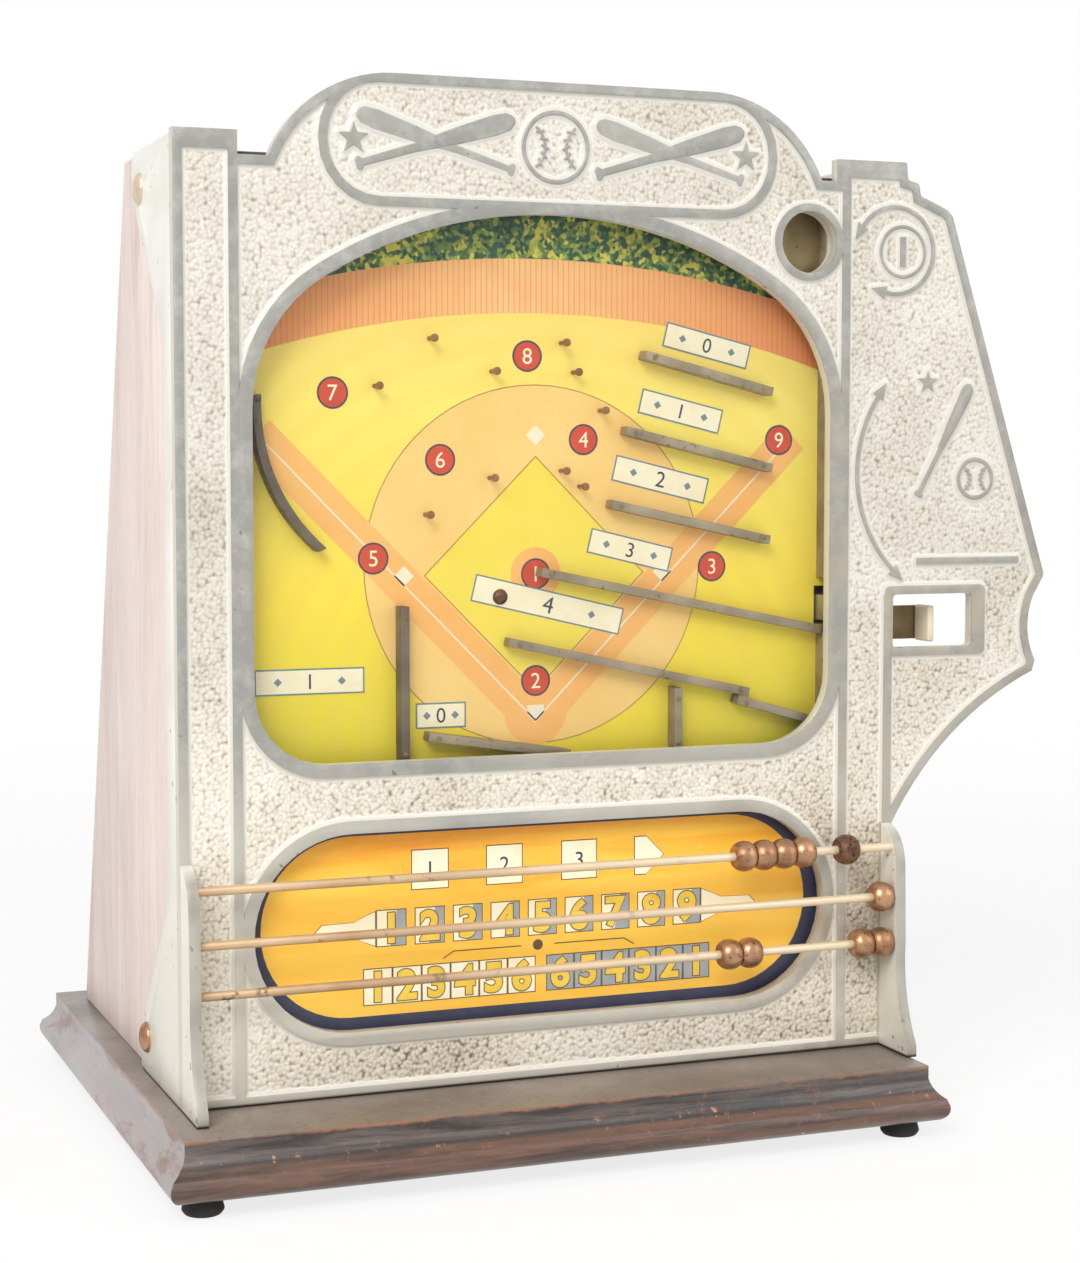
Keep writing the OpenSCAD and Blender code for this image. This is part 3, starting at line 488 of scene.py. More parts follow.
def makeCardInk():
    material, tree, shader = startMaterial("cardOrange", 0.45)
    coords = objectCoords(tree)
    z = axesOf(tree, coords)[2]
    bands = speckle(tree, objectCoords(tree, (0.12, 1.0, 1.0)), 60.0, 4.0, 0.6, 0.6)
    deeper = remap(tree, z, 0.125, 0.147, 0.0, 0.5)
    amount = calc(tree, "ADD", remap(tree, bands, 0.36, 0.68, 0.0, 0.75), deeper)
    worn = remap(tree, speckle(tree, coords, 240.0, 4.0, 0.65), 0.62, 0.74, 0.0, 0.35)
    colour = tintRamp(tree, amount, cardFinish["stops"])
    paint(tree, shader, blendTints(tree, worn, colour, tint(cardFinish["worn"])))
    return material


# Playfield paper: yellow, deeper towards the fence, with painted shade in olive green at its lower corners,
# faintly mown round the home corner
fieldFinish = {"stops": [(0.0, "#F3DE30"), (0.35, "#FDE446"), (0.7, "#FEE972"), (1.0, "#FBDB76")],
               "corner": "#CDCB30", "mown": "#F6CF58", "home": (6, 17.5, 192), "rows": 420.0}


def makeFieldPaper():
    material, tree, shader = startMaterial("fieldPaper", 0.5)
    coords = objectCoords(tree)
    axes = axesOf(tree, coords)
    home = spot(*fieldFinish["home"])
    up = calc(tree, "ADD", axes[2], calc(tree, "MULTIPLY", speckle(tree, coords, 20.0), 0.02))
    colour = tintRamp(tree, remap(tree, up, 0.18, 0.41), fieldFinish["stops"])
    wide = calc(tree, "ABSOLUTE", calc(tree, "SUBTRACT", axes[0], home.x))
    # Painted shade: the lower corners are darkened to olive green
    corner = calc(tree, "MULTIPLY", remap(tree, up, 0.25, 0.165), remap(tree, wide, 0.04, 0.16))
    colour = blendTints(tree, corner, colour, tint(fieldFinish["corner"]))
    away = addNode(tree, "ShaderNodeVectorMath", {0: coords, 1: home}, operation="DISTANCE").outputs["Value"]
    bands = calc(tree, "SINE", calc(tree, "MULTIPLY", away, fieldFinish["rows"]))
    colour = blendTints(tree, remap(tree, bands, -0.3, 0.3, 0.0, 0.16), colour, tint(fieldFinish["mown"]))
    paint(tree, shader, colour)
    return material


# Slatted fence: upright boards with thin dark joints, deeper orange towards its ends
fenceFinish = {"stops": [(0.0, "#FBC583"), (0.5, "#F6AB6B"), (1.0, "#EE8A50")], "mottle": "#F39A5A",
               "joint": "#B8683C", "board": 2.6}


def makeFenceInk():
    material, tree, shader = startMaterial("fenceInk", 0.5)
    coords = objectCoords(tree)
    x = axesOf(tree, coords)[0]
    ahead = calc(tree, "ADD", x, 1.0)
    board = calc(tree, "FRACT", calc(tree, "DIVIDE", ahead, fenceFinish["board"] / 1000))
    wide = calc(tree, "ABSOLUTE", calc(tree, "SUBTRACT", x, middleX))
    colour = tintRamp(tree, remap(tree, wide, 0.02, 0.15), fenceFinish["stops"])
    mottle = remap(tree, speckle(tree, coords, 90.0), 0.35, 0.7, 0.0, 0.3)
    colour = blendTints(tree, mottle, colour, tint(fenceFinish["mottle"]))
    colour = blendTints(tree, remap(tree, board, 0.22, 0.08, 0.0, 0.5), colour, tint(fenceFinish["joint"]))
    paint(tree, shader, colour)
    return material


# Hedge: leaf dabs in greens and yellow
hedgeFinish = {"stops": [(0.3, "#173B37"), (0.52, "#285A3C"), (0.64, "#6F8F3B"), (0.8, "#D9CF55")],
               "dabs": 520.0, "masses": 45.0}


def makeHedgeInk():
    material, tree, shader = startMaterial("hedgeInk", 0.5)
    coords = objectCoords(tree)
    cells = {"Vector": coords, "Scale": hedgeFinish["dabs"], "Randomness": 1.0}
    dabs = addNode(tree, "ShaderNodeTexVoronoi", cells, feature="F1").outputs["Color"]
    pick = axesOf(tree, dabs)[0]
    masses = speckle(tree, coords, hedgeFinish["masses"], 3.0)
    amount = calc(tree, "ADD", calc(tree, "MULTIPLY", pick, 0.45), calc(tree, "MULTIPLY", masses, 0.75))
    paint(tree, shader, tintRamp(tree, amount, hedgeFinish["stops"]))
    return material


# Thin clear pane: mostly see-through, with a faint reflection at its surface
paneFinish = {"clear": "#FFFFFF", "haze": "#FCFDFC", "roughness": 0.03, "bend": 1.3, "shine": 0.6}


def makePane():
    material, tree = startMaterial("clearPane", paneFinish["roughness"])[:2]
    haze = speckle(tree, objectCoords(tree), 9.0, 4.0)
    through = blendTints(tree, haze, tint(paneFinish["clear"]), tint(paneFinish["haze"]))
    clear = addNode(tree, "ShaderNodeBsdfTransparent", {"Color": through}).outputs[0]
    gloss = {"Color": (1, 1, 1, 1), "Roughness": paneFinish["roughness"]}
    shine = addNode(tree, "ShaderNodeBsdfGlossy", gloss).outputs[0]
    bend = addNode(tree, "ShaderNodeFresnel", {"IOR": paneFinish["bend"]}).outputs[0]
    share = calc(tree, "MULTIPLY", bend, paneFinish["shine"])
    pane = addNode(tree, "ShaderNodeMixShader", {0: share, 1: clear, 2: shine}).outputs[0]
    tree.links.new(pane, tree.nodes["Material Output"].inputs["Surface"])
    return material


castMetal = makeCastMetal()
pebbledMetal = makePebbledMetal()
plinthWood = makePlinthWood()
sideWood = makeWood("sideWood", [(0.28, "#BEA298"), (0.5, "#E2D0C8"), (0.72, "#F2E7E1")], (2,), 0.03,
                    "#96746A", grainScale=34.0)
doorWood = makeWood("doorWood", [(0.3, "#7A5A4E"), (0.5, "#A17F72"), (0.7, "#C2A497")], (1, 2), 0.02,
                    "#6A493D", grainScale=60.0)
innerWood = makeWood("innerWood", [(0.25, "#9A7650"), (0.5, "#BC9870"), (0.75, "#D4B68F")], (0,), 0.0,
                     "#7A5A3C", roughness=0.65)
roofWood = makeWood("roofWood", [(0.28, "#241A16"), (0.5, "#33251F"), (0.72, "#453229")], (0,), 0.0,
                    "#1C1411")
railMetal = makeMetal("railMetal", "#A99B82", "#8A7D68", "#54483B", 0.25, 0.5, 60.0, 0.05)
# A darker copy of the rail metal, as painted shade for the pieces along the field's shaded left edge
shadedRail = makeMetal("shadedRail", "#7C7061", "#5F554A", "#3C332B", 0.25, 0.5, 60.0, 0.06)
paleBrass = makeMetal("paleBrass", "#DECFB6", "#BDA98C", "#8A7458", 0.6, 0.36)
brass = makeMetal("screwBrass", "#D2BA86", "#B0966A", "#7A6646", 0.7, 0.34)
wireBrass = makeWireBrass()
leverBrass = makeMetal("leverBrass", "#9A8862", "#786849", "#4A3E2F", 0.5, 0.42)
copper = makeMetal("beadCopper", "#BC9270", "#92684A", "#54392A", 0.8, 0.34, 110.0, 0.07)
darkCopper = makeMetal("darkCopper", "#8A6248", "#55392C", "#2E211C", 0.6, 0.4, 110.0, 0.12)
pinCopper = makeMetal("pinCopper", "#A8784E", "#7E5636", "#4A3222", 0.5, 0.4, 110.0, 0.05)
steel = makeMetal("plainSteel", "#BDBAB2", "#9C9892", "#6A5F54", 0.7, 0.36)
rubber = makeDull("footRubber", "#1B1A1A", "#2A2827")
ivory = makeDull("leverIvory", "#F3EBD6", "#DDD0B2", 0.4)
clearPane = makePane()
fieldPaper = makeFieldPaper()
fenceInk = makeFenceInk()
hedgeInk = makeHedgeInk()
dirtInk = makeInk("dirtInk", "#FCD888", "#FBCD78", 22.0)
pathInk = makeInk("pathInk", "#FCC374", "#FAB664", 22.0)
edgeInk = makeInk("edgeInk", "#BE9152", "#A97C42", 60.0)
lineInk = makeInk("lineInk", "#FBF3DC", "#EFE6C8", 70.0)
grassInk = makeInk("grassInk", "#FCE65E", "#F4DD4C", 20.0)
redInk = makeInk("redInk", "#DB5232", "#C8452A", 80.0)
creamInk = makeInk("creamInk", "#FFF7DC", "#F8ECC6", 70.0)
blueInk = makeInk("blueInk", "#7F93A0", "#6C818F", 70.0)
navyInk = makeInk("navyInk", "#3A4560", "#323B54", 70.0)
brownInk = makeInk("brownInk", "#6F5A35", "#5C4A2C", 90.0)
cardNavy = makeInk("cardNavy", "#44465E", "#383A50", 40.0)
cardOrange = makeCardInk()
greyInk = makeInk("greyInk", "#A9AEB0", "#979DA2", 60.0)
goldInk = makeInk("goldInk", "#F6D351", "#EBBF3C", 80.0)
print("materials made")

# Every CAD node gets its finish and eased edges: material, slot, edge ease in millimetres
nodeFinish = {
    "plinth": (plinthWood, "dark_wood", 1.2), "feet": (rubber, "rubber", 0.5),
    "foot_screws": (steel, "steel", 0.3),
    "left_side": (sideWood, "side_wood", 1.0), "right_side": (sideWood, "side_wood", 1.0),
    "top_board": (roofWood, "dark_wood", 0.8), "rear_rail": (innerWood, "inner_wood", 0.8),
    "front_casting": (castMetal, "cast_metal", 0.75),
    "upper_flange_screws": (paleBrass, "brass", 0.2), "lower_flange_screws": (copper, "copper", 0.2),
    "main_glass": (clearPane, "clear_glass", None), "glass_clips": (steel, "steel", 0.2),
    "clip_screws": (steel, "steel", 0.15), "playfield_board": (innerWood, "inner_wood", 0.4),
    "playfield_sheet": (fieldPaper, "field_print", None), "board_cleats": (innerWood, "inner_wood", 0.6),
    "lane_wall": (railMetal, "rail_wood", 0.3), "field_pins": (pinCopper, "dark_copper", 0.15),
    "score_card": (cardNavy, "card_print", None), "score_backboard": (innerWood, "inner_wood", 0.6),
    "bat_lever": (leverBrass, "lever_brass", 0.35), "bat_paddle": (steel, "steel", 0.4),
    "pivot_pin": (steel, "steel", 0.3), "pivot_bracket": (steel, "steel", 0.4),
    "spring_post": (steel, "steel", 0.3),
    "lever_bumper": (rubber, "rubber", 0.6), "back_door": (doorWood, "dark_wood", 1.0),
    "hinge_base_leaves": (brass, "brass", 0.2), "hinge_door_leaves": (brass, "brass", 0.2),
    "hinge_pins": (steel, "steel", 0.2), "door_lock": (brass, "brass", 0.4),
    "lock_cam": (steel, "steel", 0.3), "cash_tray": (innerWood, "inner_wood", 0.6)}
for name in frame["nodes"]:
    if name.endswith("_rail") and name != "rear_rail" or name.endswith("_fence"):
        nodeFinish[name] = (railMetal, "rail_wood", 0.35)
    elif name.startswith("wire_"):
        nodeFinish[name] = (wireBrass, "wire_brass", 0.2)
    elif name.startswith("bead_"):
        nodeFinish[name] = (copper, "copper", 0.0)
nodeFinish["bead_top_5"] = (darkCopper, "dark_copper", 0.0)
# The curved rail and left fence take the darker rail metal as painted shade
for name in ("curved_rail", "left_fence"):
    nodeFinish[name] = (shadedRail, "rail_wood", 0.35)
for name, (material, slotName, ease) in nodeFinish.items():
    dressNode(name, material, ease)
print("nodes dressed:", len(nodeFinish))

# Flat shapes and numbers for the prints and reliefs, drawn in x and z


def circle(x, z, r, n=40):
    return [(x + r * math.cos(2 * math.pi * i / n), z + r * math.sin(2 * math.pi * i / n)) for i in range(n)]


def sweep(x, z, r, start, end, n=24):
    turns = [math.radians(start + (end - start) * i / n) for i in range(n + 1)]
    return [(x + r * math.cos(t), z + r * math.sin(t)) for t in turns]


def turned(points, x, z, turn):
    c, s = math.cos(math.radians(turn)), math.sin(math.radians(turn))
    return [(x + px * c - pz * s, z + px * s + pz * c) for px, pz in points]


def plate(x, z, w, h, turn=0.0):
    return turned([(-w / 2, -h / 2), (w / 2, -h / 2), (w / 2, h / 2), (-w / 2, h / 2)], x, z, turn)


def strip(start, end, w):
    dx, dz = end[0] - start[0], end[1] - start[1]
    return plate((start[0] + end[0]) / 2, (start[1] + end[1]) / 2, math.hypot(dx, dz), w,
                 math.degrees(math.atan2(dz, dx)))


# An outline drawn in by one width on each side of its box
def shrunk(outline, by):
    xs, zs = zip(*outline)
    mx, mz = (min(xs) + max(xs)) / 2, (min(zs) + max(zs)) / 2
    w, h = (max(xs) - min(xs)) / 2, (max(zs) - min(zs)) / 2
    return [(mx + (x - mx) * (w - by) / w, mz + (z - mz) * (h - by) / h) for x, z in outline]


# A flat shape cut to its outline, from depth back up to depth front
def cutShape(name, outline, back, front):
    clearPick()
    bpy.ops.mesh.primitive_circle_add(vertices=len(outline), fill_type="NGON")
    piece = bpy.context.object
    piece.name = name
    for vertex, (x, z) in zip(piece.data.vertices, outline):
        vertex.co = spot(x, back, z)
    bpy.ops.object.mode_set(mode="EDIT")
    bpy.ops.mesh.select_all(action="SELECT")
    bpy.ops.mesh.extrude_region_move(TRANSFORM_OT_translate={"value": (0, (front - back) / 1000, 0)})
    bpy.ops.mesh.select_all(action="SELECT")
    bpy.ops.mesh.normals_make_consistent(inside=False)
    bpy.ops.object.mode_set(mode="OBJECT")
    return piece


digitShare = 0.7  # a digit's height as a share of its font's size


# A number from depth back up to depth front, with its middle at x and z and its outline grown all round
def cutNumber(name, digit, x, z, tall, back, front, turn=0.0, grow=0.0):
    if digit == "6" and grow:
        digit, turn = "9", turn + 180  # a 6 that is grown crosses its own outline, and an upturned 9 doesn't
    clearPick()
    bpy.ops.object.text_add()
    drawn = bpy.context.object
    drawn.name = name
    drawn.data.body = digit
    drawn.data.size = tall / 1000 / digitShare
    drawn.data.extrude = abs(front - back) / 2000
    drawn.data.offset = grow / 1000
    bpy.ops.object.convert(target="MESH")
    piece = bpy.context.object
    corners = [Vector(corner) for corner in piece.bound_box]
    centred = Matrix.Translation((corners[0] + corners[6]) / -2)
    lay = Matrix.Rotation(math.radians(-turn), 4, "Y") @ Matrix.Rotation(math.pi / 2, 4, "X")
    piece.data.transform(Matrix.Translation(spot(x, (front + back) / 2, z)) @ lay @ centred)
    return piece


def joinAll(name, pieces):
    clearPick()
    for piece in pieces:
        piece.select_set(True)
    bpy.context.view_layer.objects.active = pieces[0]
    if len(pieces) > 1:
        bpy.ops.object.join()
    pieces[0].name = name
    return pieces[0]


inkLift = 0.06  # each layer of ink stands this far above the one below


def printShapes(name, outlines, base, level, material):
    cut = [cutShape(name, outline, base, base - inkLift * level) for outline in outlines]
    return settle(joinAll(name, cut), material, "root")


def printNumbers(name, numbers, base, level, material, grow=0.0):
    back, front = base - inkLift * (level - 1), base - inkLift * level
    cut = [cutNumber(name, digit, x, z, tall, back, front, turn, grow) for digit, x, z, tall, turn in numbers]
    return settle(joinAll(name, cut), material, "root")


# Playfield print: a plain diamond, numbered discs, a fence and a hedge, and plates with the bases gained
fieldPrint = {"centre": 6, "home": 196, "half": 62, "edge": 0.5, "dirt": 80, "dirtUp": 4, "grass": 0.84,
              "foulLow": 4, "foulReach": 128, "path": 17, "line": 0.7, "mound": 12, "homeMound": 15,
              "base": 6.5, "homePlate": [(0, -5), (4, -1), (4, 3), (-4, 3), (-4, -1)],
              "margin": 1, "fenceCentre": -67, "fenceLow": 441, "fenceHigh": 465,
              "disc": 6.2, "discEdge": 0.8, "discDigit": 7,
              "discs": [(6, 258), (6, 210), (93, 260), (29, 318), (-70, 266), (-39, 309), (-88, 338),
                        (2, 355), (127, 318)],
              "plateTurn": -13.4, "plateEdge": 1.4, "digitRoom": 3.4, "mark": 2.6, "markOut": 0.3,
              "plates": [("0", 90, 361, 42, 10), ("1", 77, 331, 40, 10), ("2", 67, 300, 46, 10.5),
                         ("3", 52, 268, 40, 10), ("4", 12, 244, 72, 11)],
              "flatPlates": [("1", -99, 213, 48, 10), ("0", -39, 196, 22, 10)]}


def printField():
    low, high = nodeBox("playfield_sheet")
    cx, home, half, edge = [fieldPrint[key] for key in ("centre", "home", "half", "edge")]

    def lay(name, level, material, outlines):
        printShapes(name, outlines, low.y, level, material)

    def scaled(points, share):
        return [(cx + (x - cx) * share, home + half + (z - home - half) * share) for x, z in points]

    left, right = low.x + fieldPrint["margin"], high.x - fieldPrint["margin"]
    top = high.z - fieldPrint["margin"]
    hub, fenceLow, fenceHigh = [fieldPrint[key] for key in ("fenceCentre", "fenceLow", "fenceHigh")]
    first, last = [math.degrees(math.acos((x - cx) / fenceHigh)) for x in (right, left)]
    upper = sweep(cx, hub, fenceHigh, first, last, 40)
    lower = [(max(left, min(right, x)), z) for x, z in sweep(cx, hub, fenceLow, last, first, 40)]
    lay("fieldFence", 1, fenceInk, [upper + lower])
    lay("fieldHedge", 1.5, hedgeInk, [upper[::-1] + [(right, top), (left, top)]])
    dirt, dirtZ = fieldPrint["dirt"], home + half + fieldPrint["dirtUp"]
    lay("fieldDirtEdge", 0.5, edgeInk, [circle(cx, dirtZ, dirt + edge, 72)])
    lay("fieldDirt", 1, dirtInk, [circle(cx, dirtZ, dirt, 72)])
    start, far = (cx, home - fieldPrint["foulLow"]), fieldPrint["foulReach"]
    ends = [(cx + side * far, start[1] + far) for side in (-1, 1)]
    lay("fieldFoulPaths", 1.5, pathInk, [strip(start, end, fieldPrint["path"]) for end in ends])
    corners = [(cx, home), (cx + half, home + half), (cx, home + 2 * half), (cx - half, home + half)]
    inner = scaled(corners, fieldPrint["grass"])
    outer = scaled(inner, 1 + edge / (fieldPrint["grass"] * half) * math.sqrt(2))
    lay("fieldGrassEdge", 1.75, edgeInk, [outer])
    lay("fieldGrass", 2.25, grassInk, [inner])
    mounds = [circle(cx, home + half, fieldPrint["mound"]), circle(cx, home, fieldPrint["homeMound"])]
    lay("fieldMounds", 2.5, pathInk, mounds)
    lines = [strip(start, end, fieldPrint["line"]) for end in ends]
    bases = [plate(x, z, fieldPrint["base"], fieldPrint["base"], 45) for x, z in corners[1:]]
    bases.append([(cx + x, home + z) for x, z in fieldPrint["homePlate"]])
    lay("fieldLines", 3, lineInk, lines + bases)
    discs, r = fieldPrint["discs"], fieldPrint["disc"]
    lay("fieldDiscEdges", 3.5, navyInk, [circle(x, z, r + fieldPrint["discEdge"]) for x, z in discs])
    lay("fieldDiscs", 4, redInk, [circle(x, z, r) for x, z in discs])
    numbers = [(str(i + 1), x, z, fieldPrint["discDigit"], 0) for i, (x, z) in enumerate(discs)]
    printNumbers("fieldDiscNumbers", numbers, low.y, 5, creamInk)
    edges, faces, marks, digits = [], [], [], []
    for group, turn in (("plates", fieldPrint["plateTurn"]), ("flatPlates", 0.0)):
        for digit, x, z, w, h in fieldPrint[group]:
            edges.append(plate(x, z, w + fieldPrint["plateEdge"], h + fieldPrint["plateEdge"], turn))
            faces.append(plate(x, z, w, h, turn))
            digits.append((digit, x, z, h - fieldPrint["digitRoom"], turn))
            for side in (-1, 1):
                place = turned([(side * w * fieldPrint["markOut"], 0)], x, z, turn)[0]
                marks.append(plate(*place, fieldPrint["mark"], fieldPrint["mark"], turn + 45))
    lay("fieldPlateEdges", 4.5, blueInk, edges)
    lay("fieldPlates", 5, creamInk, faces)
    lay("fieldPlateMarks", 5.5, blueInk, marks)
    printNumbers("fieldPlateNumbers", digits, low.y, 6, navyInk)


printField()
print("field printed")

# Score card: a navy border, base boxes, innings and runs in boxes
cardPrint = {"centre": (6.75, 105.5), "w": 261.5, "h": 80, "boxLine": 0.45,
             "bases": [-47, -12, 24], "baseZ": 129, "baseW": 17.5, "baseH": 18, "baseDigit": 7,
             "home": 57, "homeBack": 6, "homeTip": 9,
             "innings": (-65, 17.8), "inningZ": 104, "inningW": 14, "inningH": 16.5,
             "shadeIn": 0.4, "shadeFoot": -0.5, "shadeHead": 2.5,
             "pointer": [(0, 8), (5, 6), (10, 3.6), (25, 3.2), (28, 0)],
             "runs": (-71.3, 13.5), "runsZ": 78.3, "runH": 16.5, "backRuns": 14.8,
             "digit": 12.5, "digitEdge": 1.15, "digitFace": 0.7,
             "bracketLine": 0.5, "bracketDot": (4, 91.5, 2.4),
             "brackets": [((-36, 91.5), (-4, 91.5)), ((12, 91.5), (46, 91.5)), ((-36, 91.5), (-41, 88.5)),
                          ((46, 91.5), (51, 88.5))]}


def printCard():
    base = nodeBox("score_card")[0].y

    def lay(name, level, material, outlines):
        printShapes(name, outlines, base, level, material)

    x, z = cardPrint["centre"]
    r, reach = cardPrint["h"] / 2, (cardPrint["w"] - cardPrint["h"]) / 2
    lay("cardFace", 1, cardOrange, [sweep(x + reach, z, r, -90, 90) + sweep(x - reach, z, r, 90, 270)])
    baseZ, half = cardPrint["baseZ"], cardPrint["baseH"] / 2
    boxes = [plate(bx, baseZ, cardPrint["baseW"], cardPrint["baseH"]) for bx in cardPrint["bases"]]
    hx, hxBack = cardPrint["home"], cardPrint["home"] - cardPrint["homeBack"]
    tip = (hx + cardPrint["homeTip"], baseZ)
    boxes.append([(hxBack, baseZ - half), (hx, baseZ - half), tip, (hx, baseZ + half),
                  (hxBack, baseZ + half)])
    first, pitch = cardPrint["innings"]
    inZ, inW, inH = cardPrint["inningZ"], cardPrint["inningW"], cardPrint["inningH"]
    innings = [first + pitch * i for i in range(9)]
    for edge, way in ((innings[0] - inW / 2, -1), (innings[-1] + inW / 2, 1)):
        upper = [(edge + way * out, inZ + up) for out, up in cardPrint["pointer"]]
        lower = [(edge + way * out, inZ - up) for out, up in cardPrint["pointer"][-2::-1]]
        boxes.append(upper + lower)
    boxes += [plate(bx, inZ, inW, inH) for bx in innings]
    start, step = cardPrint["runs"]
    runs = [start + step * i for i in range(6)]
    back = [cardPrint["backRuns"] + step * i for i in range(6)]
    boxes += [plate(bx, cardPrint["runsZ"], step, cardPrint["runH"]) for bx in runs]
    greys = [plate(bx, cardPrint["runsZ"], step, cardPrint["runH"]) for bx in back]
    out, up = inW / 2 - cardPrint["shadeIn"], inH / 2 - cardPrint["shadeIn"]
    shades = [[(bx + cardPrint["shadeFoot"], inZ - up), (bx + out, inZ - up), (bx + out, inZ + up),
               (bx + cardPrint["shadeHead"], inZ + up)] for bx in innings]
    line = cardPrint["boxLine"]
    lay("cardBoxEdges", 2, brownInk, boxes + greys)
    lay("cardBoxes", 2.5, creamInk, [shrunk(box, line) for box in boxes])
    lay("cardGreyBoxes", 3, greyInk, [shrunk(box, line) for box in greys] + shades)
    tall = cardPrint["digit"]
    numbers = [(str(i + 1), bx, inZ, tall, 0) for i, bx in enumerate(innings)]
    numbers += [(str(i + 1), bx, cardPrint["runsZ"], tall, 0) for i, bx in enumerate(runs)]
    numbers += [(str(6 - i), bx, cardPrint["runsZ"], tall, 0) for i, bx in enumerate(back)]
    printNumbers("cardNumberEdges", numbers, base, 4, brownInk, cardPrint["digitEdge"])
    printNumbers("cardNumbers", numbers, base, 5, goldInk, cardPrint["digitFace"])
    small = cardPrint["baseDigit"]
    baseNumbers = [(str(i + 1), bx, baseZ, small, 0) for i, bx in enumerate(cardPrint["bases"])]
    printNumbers("cardBaseNumbers", baseNumbers, base, 4, navyInk)
    brackets = [strip(begin, end, cardPrint["bracketLine"]) for begin, end in cardPrint["brackets"]]
    lay("cardBrackets", 2, brownInk, brackets + [circle(*cardPrint["bracketDot"])])


printCard()
print("score card printed")

# Raised work on the casting, in the same metal: bats, a ball and stars on the header, a coin mark on the wing
reliefWork = {"ground": 2.0, "face": 0.15, "sunk": 0.5, "headerZ": 445, "ball": (9, 445, 15), "bat": 76,
              "batsAt": (-46, 64), "cross": 17, "batBack": 0.25, "stars": (-83, 101), "starR": 7.5,
              "starWaist": 0.42, "coin": (182, 405, 11.5), "coinRim": 1.8, "coinDigit": 13, "coinGrow": 0.5,
              "wingBat": (60, 205, 318, 62), "wingStar": (196, 345, 6), "wingBall": (222, 300, 9)}
# Half of a bat's outline: along the bat, and out from its middle line
batHalf = [(0, 2.2), (1, 3.3), (2.6, 3.3), (4, 1.9), (28, 2.2), (48, 3.9), (66, 4.7), (72.5, 4.1), (75, 2.4),
           (76, 0.8)]
# A ball's rim, seams and stitches, in millimetres, degrees and shares of its radius
ballWork = {"rim": 2.2, "seam": 1.3, "seamOut": 1.05, "seamR": 0.72, "seamTurn": 54, "stitch": 1.1,
            "stitchLong": 0.27, "stitchStep": 19, "stitchLean": 28, "stitchLift": 0.1}
# A ring's two halves, which overlap: where each starts and how far back it lies
ringHalves = {"starts": ((-5, -0.001), (175, 0.035)), "turn": 190}


def batOutline(length, x, z, turn):
    whole = batHalf[-1][0]
    points = [(px - whole / 2, -pz) for px, pz in batHalf]
    points += [(px - whole / 2, pz) for px, pz in reversed(batHalf)]
    scale = length / whole
    return turned([(px * scale, pz * scale) for px, pz in points], x, z, turn)


def starOutline(x, z, r):
    reach = (r, r * reliefWork["starWaist"])
    points = []
    for i in range(10):
        turn = math.pi * i / 5
        points.append((x + reach[i % 2] * math.sin(turn), z + reach[i % 2] * math.cos(turn)))
    return points


def bandOutline(x, z, r, w, start, end):
    return sweep(x, z, r + w / 2, start, end) + sweep(x, z, r - w / 2, end, start)


def raised(name, outline, face, ease=0.7):
    piece = cutShape(name, outline, reliefWork["ground"] + reliefWork["sunk"], face)
    roundEdges(piece, ease, 3, 50)
    return piece


def raisedRing(name, x, z, r, w):
    halves = []
    for start, back in ringHalves["starts"]:
        band = bandOutline(x, z, r, w, start, start + ringHalves["turn"])
        halves.append(raised(name, band, reliefWork["face"] + back))
    return halves


def makeBall(name, x, z, r):
    face = reliefWork["face"]
    parts = raisedRing(name, x, z, r, ballWork["rim"])
    for side in (-1, 1):
        seamX, seamR = x + side * r * ballWork["seamOut"], r * ballWork["seamR"]
        middle = 180 if side > 0 else 0
        ends = (middle - ballWork["seamTurn"], middle + ballWork["seamTurn"])
        parts.append(raised(name, bandOutline(seamX, z, seamR, ballWork["seam"], *ends), face, 0.4))
        for i in range(-2, 3):
            turn = middle + i * ballWork["stitchStep"]
            place = sweep(seamX, z, seamR, turn, turn, 1)[0]
            lean = turn + ballWork["stitchLean"] * side
            stitch = plate(*place, r * ballWork["stitchLong"], ballWork["stitch"], lean)
            parts.append(raised(name, stitch, face - ballWork["stitchLift"], 0.3))
    return joinAll(name, parts)


def makeRelief():
    face, headerZ = reliefWork["face"], reliefWork["headerZ"]
    bats = []
    for x in reliefWork["batsAt"]:
        for back, turn in ((0.0, reliefWork["cross"]), (reliefWork["batBack"], 180 - reliefWork["cross"])):
            outline = batOutline(reliefWork["bat"], x, headerZ, turn)
            bats.append(raised("headerBats", outline, face + back, 1.1))
    outlines = [starOutline(x, headerZ, reliefWork["starR"]) for x in reliefWork["stars"]]
    stars = [raised("headerStars", outline, face) for outline in outlines]
    coinX, coinZ, coinR = reliefWork["coin"]
    coin = raisedRing("wingCoin", coinX, coinZ, coinR, reliefWork["coinRim"])
    coin.append(cutNumber("wingCoin", "1", coinX, coinZ, reliefWork["coinDigit"],
                          reliefWork["ground"] + reliefWork["sunk"], face, 0, reliefWork["coinGrow"]))
    wing = [raised("wingBats", batOutline(*reliefWork["wingBat"]), face, 1.0),
            raised("wingBats", starOutline(*reliefWork["wingStar"]), face)]
    made = [joinAll("headerBats", bats), joinAll("headerStars", stars), joinAll("wingCoin", coin),
            joinAll("wingBats", wing), makeBall("headerBall", *reliefWork["ball"]),
            makeBall("wingBall", *reliefWork["wingBall"])]
    for piece in made:
        smoothOver(piece, 40)
        settle(piece, castMetal, "root")
    return made


# Pebbled ground: a fine grid, cut away over borders and openings, lifted at its edges, pressed into grains
borderKind = 1
groundKind = 2


